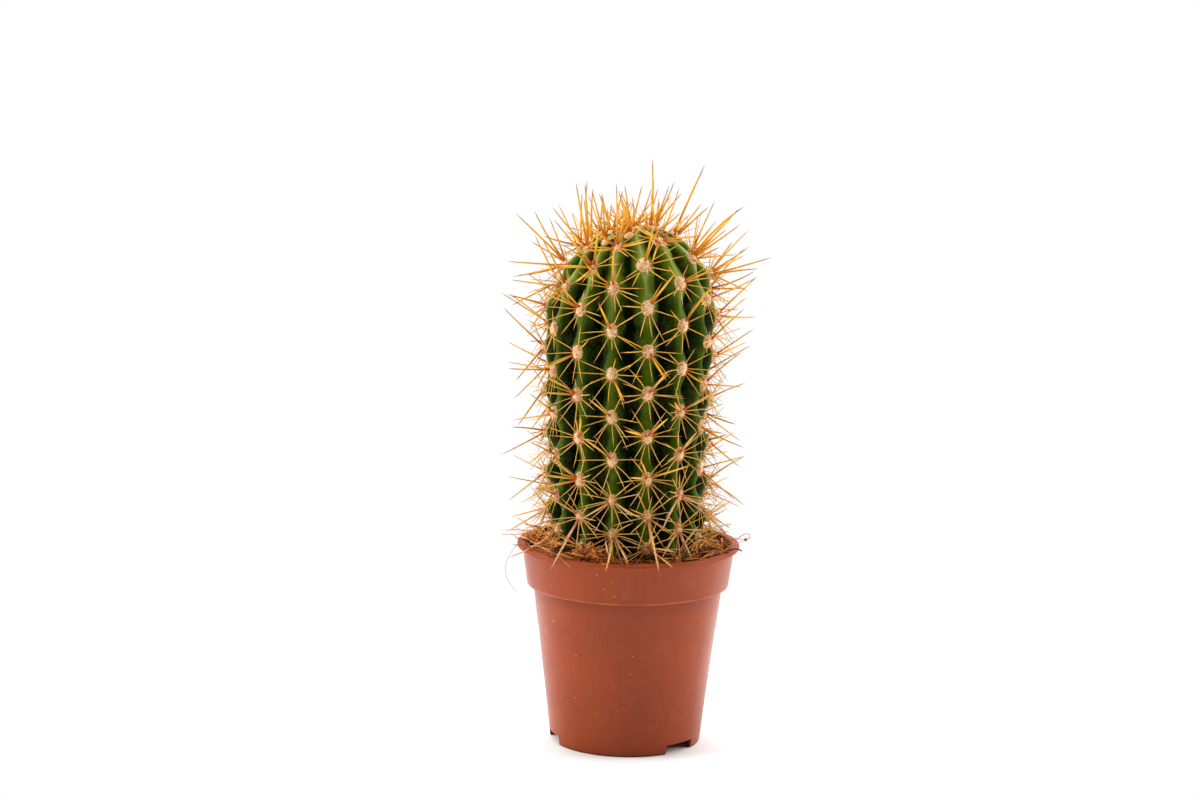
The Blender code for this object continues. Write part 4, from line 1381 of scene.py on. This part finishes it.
class Growth:
    """Wool pads and spines that grow together, with their own random draws."""

    def __init__(self, nursery, seed):
        self.nursery = nursery
        self.settings = nursery.settings
        self.draw = random.Random(seed)
        self.spines, self.pads = Pile(), Pile()

    def reaching(self, rib, z, place):
        """The spines that reach out from one areole."""
        spines = []
        for (own, level), ways in REACHES.items():
            if own != rib or abs(level * MM - z) > 0.3 * MM:
                continue
            for way in ways:
                way = place.to_3x3().inverted() @ Vector(way)
                turn = math.degrees(math.atan2(way.x, way.y))
                tilt = math.degrees(math.asin(way.z / way.length))
                thickness = self.settings.central_radius * (0.7 + 0.03 * way.length)
                tone = self.draw.uniform(0.0, 0.1)
                spines.append(Spine(turn, tilt, way.length * MM, thickness, tone, 0.72))
        return spines

    def ring(self, ring, turns, thickness, wear=FRESH):
        """One spine for each turn of a ring, each a little off it."""
        draw = self.draw
        return [
            Spine(
                turn=turn + draw.gauss(0.0, 5.0),
                tilt=draw.uniform(*ring.tilts),
                length=draw.uniform(*ring.lengths) * MM * wear.size,
                radius=thickness * draw.uniform(0.85, 1.12) * wear.size,
                tone=draw.uniform(*ring.tones) * wear.tone,
                foot=ring.foot,
            )
            for turn in turns
        ]

    def areole(self, zone, strong, worn):
        """The spines of one areole: flat radials, and strong centrals that are given or drawn."""
        draw, settings = self.draw, self.settings
        wear = zone.worn if worn else FRESH
        spines = []
        for ring in zone.rings:
            turns = [turn for turn in ring.turns if draw.random() < wear.kept]
            spines += self.ring(ring, turns, settings.radial_radius, wear)
        for turn, tilt, reach in strong:
            tone = draw.uniform(*zone.central.tones)
            thickness = settings.central_radius * draw.uniform(0.95, 1.1)
            spines.append(Spine(turn, tilt, reach * MM, thickness, tone, zone.central.foot))
        if strong:
            return spines
        turns = [draw.choice(zone.central.turns)]
        spines += self.ring(zone.central, turns, settings.central_radius, wear)
        count = min(draw.choice(zone.spare), 1 if worn else 3)
        turns = draw.sample(zone.extra.turns, count)
        return spines + self.ring(zone.extra, turns, settings.central_radius, wear)

    def grow_spines(self, spines, place, pad):
        """Grow spines from a pad, each tried a little steeper and shorter until it stands clear."""
        axes, shape, draw = place.to_3x3(), self.nursery.spine, self.draw
        for spine in spines:
            turn = math.radians(spine.turn)
            across, along = math.sin(turn), math.cos(turn)
            spot, out = (0.66, 0.42) if spine.tilt < 36.0 else (0.36, 0.7)
            foot = place @ Vector((
                spot * pad[0] * MM * across, spot * pad[1] * MM * along, out * PAD_THICKNESS,
            ))
            for attempt in range(10):
                lift = math.radians(min(spine.tilt + 5.0 * attempt, 84.0))
                reach = spine.length * (1.0 - 0.02 * attempt)
                flat = math.cos(lift)
                way = axes @ Vector((across * flat, along * flat, math.sin(lift)))
                if not stands_clear(foot, foot + way * reach):
                    continue
                side = way.cross(Vector(three(draw))).normalized()
                sag = side * reach * abs(draw.gauss(0.0, 0.022))
                points = carried(lay_straight(shape, foot, foot + way * reach, spine.radius, sag), foot)
                self.spines.add(shape, points, along=shape.points[:, 2], tone=spine.tone, foot=spine.foot)
                break

    def grow_pad(self, place, width, height, thickness, strands, paleness):
        """A lumpy pad with strands that curl off it. Its width and height are half sizes in mm."""
        dome, strand, draw = self.nursery.dome, self.nursery.strand, self.draw
        size = (width * MM, height * MM, thickness)
        crest_curve = 1.0 / CREST_ROUNDING
        bed = dome.points * size
        seed = Vector((draw.uniform(0, 99), draw.uniform(0, 99), draw.uniform(0, 99)))
        for point in bed:
            point *= 1.0 + 0.16 * noise.noise(Vector(point) / MM * 1.6 + seed)
        bed[:, 2] -= bed[:, 0] ** 2 * crest_curve
        turn, spot = np.array(place.to_3x3()), np.array(place.translation)
        self.pads.add(dome, grown(bed @ turn.T + spot), tone=paleness * 0.5)
        for _ in range(strands):
            x, y, z = three(draw, 1, 1, 0.9)
            way = Vector((x, y, abs(z))).normalized()
            start = Vector((way.x * size[0], way.y * size[1], way.z * thickness)) * 0.93
            start.z -= start.x ** 2 * crest_curve
            heading = way + Vector(three(draw, 0.8, 0.8, 0.5))
            end = start + heading.normalized() * draw.uniform(0.35, 0.85) * MM
            sag = Vector(three(draw)) * 0.09 * MM
            points = lay_straight(strand, start, end, draw.uniform(0.028, 0.05) * MM, sag)
            tone = min(max(paleness + draw.gauss(0.0, 0.3), 0.0), 1.0)
            self.pads.add(strand, grown(points @ turn.T + spot), tone=tone)

    def dress(self, spines_name, wool_name, node):
        """Build the spines and the wool, lean them, and let both stand for a node."""
        for pile, name, material, slot in (
            (self.spines, spines_name, self.nursery.horn, "spines"),
            (self.pads, wool_name, self.nursery.wool, "wool"),
        ):
            piece = pile.build(name)
            piece.data.transform(leaned())
            dress(piece, material, slot, node)


class CACTUS_OT_spines(Operator):
    """Grow the spines and the wool pads, one row for each rib"""

    bl_idname = "cactus.spines"
    bl_label = "Spine rows"

    def execute(self, context):
        settings = context.scene.cactus_spines
        nursery = Nursery(settings)
        for rib in range(RIBS):
            growth = Growth(nursery, 700 + rib)
            for row, z in enumerate(areole_levels(rib)):
                place = areole_frame(rib, z)
                zone = next(zone for zone in ZONES if z >= zone.lowest)
                pad = [size * growth.draw.uniform(0.92, 1.08) * settings.pad_scale for size in zone.pad]
                growth.grow_pad(place, *pad, PAD_THICKNESS, settings.strands, zone.paleness)
                spines = growth.reaching(rib, z, place)
                worn = rib in WORN_RIBS and z < COLUMN_TOP
                spines += growth.areole(zone, STRONG.get((rib, row), ()), worn)
                growth.grow_spines(spines, place, pad)
            number = f"{rib + 1:02d}"
            growth.dress(f"spine_row_{number}", f"wool_row_{number}", f"spines_rib_{number}")
        return {"FINISHED"}


class CACTUS_OT_crown(Operator):
    """Cap the growing tip with wool and a brush of young spines"""

    bl_idname = "cactus.crown"
    bl_label = "Crown"

    def execute(self, context):
        settings = context.scene.cactus_spines
        growth = Growth(Nursery(settings), 900)
        middle = Matrix.Translation((0.0, 0.0, APEX - 0.9 * MM))
        growth.grow_pad(middle, 3.4, 3.4, 1.5 * MM, 700, 0.35)
        heart = growth.ring(CROWN_HEART, CROWN_HEART.turns, settings.crown_radius)
        growth.grow_spines(heart, middle, (3.0, 3.0))
        for rib, level in CROWN_AREOLES:
            place = areole_frame(rib, level * MM, -0.2 * MM)
            growth.grow_pad(place, *CROWN_PAD, 0.95 * MM, 80, 0.8)
            spines = growth.reaching(rib, level * MM, place)
            for ring in (CROWN_SKIRT,) if spines else CROWN_RINGS:
                spines += growth.ring(ring, ring.turns, settings.crown_radius)
            growth.grow_spines(spines, place, CROWN_PAD)
        growth.dress("crown_spines", "crown_wool", "crown_tuft")
        return {"FINISHED"}


# ---------------------------------------------------------------- stage

# Soft rectangular lights: each one's place, width and height, and power.
LIGHTS = {
    "left_softbox": ((-0.85, -0.1, 0.5), (0.5, 0.8), 7.3),
    "right_softbox": ((0.8, 0.05, 0.4), (0.4, 0.8), 4.3),
    "top_softbox": ((0.0, 0.15, 0.9), (0.7, 0.7), 3.8),
}


def build_floor(settings):
    """A plain round floor just under the pot's foot."""
    floor = start_piece(
        "studio_floor", bpy.ops.mesh.primitive_circle_add, vertices=160, radius=FLOOR_RADIUS,
        fill_type="NGON", location=(0.0, 0.0, -0.02 * MM),
    )
    bpy.ops.object.mode_set(mode="OBJECT")
    material = bpy.data.materials.new("white_floor")
    material.use_nodes = True
    shader = material.node_tree.nodes["Principled BSDF"].inputs
    shader["Base Color"].default_value = (*settings.floor, 1.0)
    shader["Roughness"].default_value = 1.0
    shader["Specular IOR Level"].default_value = 0.0
    floor.data.materials.append(material)


def build_surround(settings):
    """A white surround that is darker behind the camera, so the object's middle is modelled."""
    world = bpy.data.worlds.new("white_surround")
    world.use_nodes = True
    bpy.context.scene.world = world
    nodes = Nodes(world.node_tree)
    background = world.node_tree.nodes["Background"].inputs
    background["Color"].default_value = (1.0, 1.0, 1.0, 1.0)
    way = {"Vector": nodes.add("TexCoord", "Generated")}
    depth = nodes.add("SeparateXYZ", "Y", way)
    strength = nodes.remap(depth, -0.5, 0.4, settings.camera_side, settings.surround)
    below = nodes.remap(nodes.add("SeparateXYZ", "Z", way), 0.0, -0.05)
    seen = nodes.add("LightPath", "Is Camera Ray")
    for share, brightness in ((below, settings.table), (seen, 1.0)):
        strength = nodes.add("Mix", 0, {0: share, 2: strength, 3: brightness}, data_type="FLOAT")
    nodes.feed(background["Strength"], strength)


def add_light(name, place, size, power):
    """A soft rectangular light that faces the plant's middle."""
    light = bpy.data.lights.new(name, "AREA")
    light.shape = "RECTANGLE"
    light.size, light.size_y = size
    light.energy = power
    lamp = bpy.data.objects.new(name, light)
    lamp.location = place
    lamp.rotation_euler = (STAGE_MIDDLE - Vector(place)).to_track_quat("-Z", "Y").to_euler()
    bpy.context.scene.collection.objects.link(lamp)


class CACTUS_OT_stage(Operator):
    """Set the floor, the surround, the lights and the camera"""

    bl_idname = "cactus.stage"
    bl_label = "Stage"

    def execute(self, context):
        settings = context.scene.cactus_stage
        build_floor(settings)
        build_surround(settings)
        for name, (place, size, power) in LIGHTS.items():
            add_light(name, place, size, power)
        camera = bpy.data.objects.new("camera", bpy.data.cameras.new("camera"))
        camera.data.lens = CAMERA_LENS
        camera.data.clip_start = 0.01
        camera.location = CAMERA_PLACE
        turn = Matrix.Rotation(CAMERA_PITCH, 3, "X") @ Matrix.Rotation(CAMERA_ROLL, 3, "Z")
        camera.rotation_euler = turn.to_euler()
        context.scene.collection.objects.link(camera)
        context.scene.camera = camera
        context.scene.view_settings.view_transform = "Standard"
        return {"FINISHED"}


class VIEW3D_PT_torch_cactus(Panel):
    """Lists the steps that build the cactus, and their settings"""

    bl_label = "Torch cactus"
    bl_space_type = "VIEW_3D"
    bl_region_type = "UI"
    bl_category = "Torch cactus"

    def draw(self, context):
        for operator in OPERATORS:
            self.layout.operator(operator.bl_idname)
        for name, group in SETTINGS.items():
            box = self.layout.box()
            for key in group.__annotations__:
                box.prop(getattr(context.scene, name), key)


OPERATORS = (
    CACTUS_OT_pot,
    CACTUS_OT_specks,
    CACTUS_OT_peat,
    CACTUS_OT_coir,
    CACTUS_OT_stem,
    CACTUS_OT_spines,
    CACTUS_OT_crown,
    CACTUS_OT_stage,
)
CLASSES = (*SETTINGS.values(), *OPERATORS, VIEW3D_PT_torch_cactus)


def register():
    for group in CLASSES:
        bpy.utils.register_class(group)
    for name, group in SETTINGS.items():
        setattr(bpy.types.Scene, name, PointerProperty(type=group))


def unregister():
    for name in SETTINGS:
        delattr(bpy.types.Scene, name)
    for group in reversed(CLASSES):
        bpy.utils.unregister_class(group)


def main():
    register()
    bpy.ops.cactus.pot()
    bpy.ops.cactus.specks()
    bpy.ops.cactus.peat()
    bpy.ops.cactus.coir()
    bpy.ops.cactus.stem()
    bpy.ops.cactus.spines()
    bpy.ops.cactus.crown()
    bpy.ops.cactus.stage()


if __name__ == "__main__":
    main()
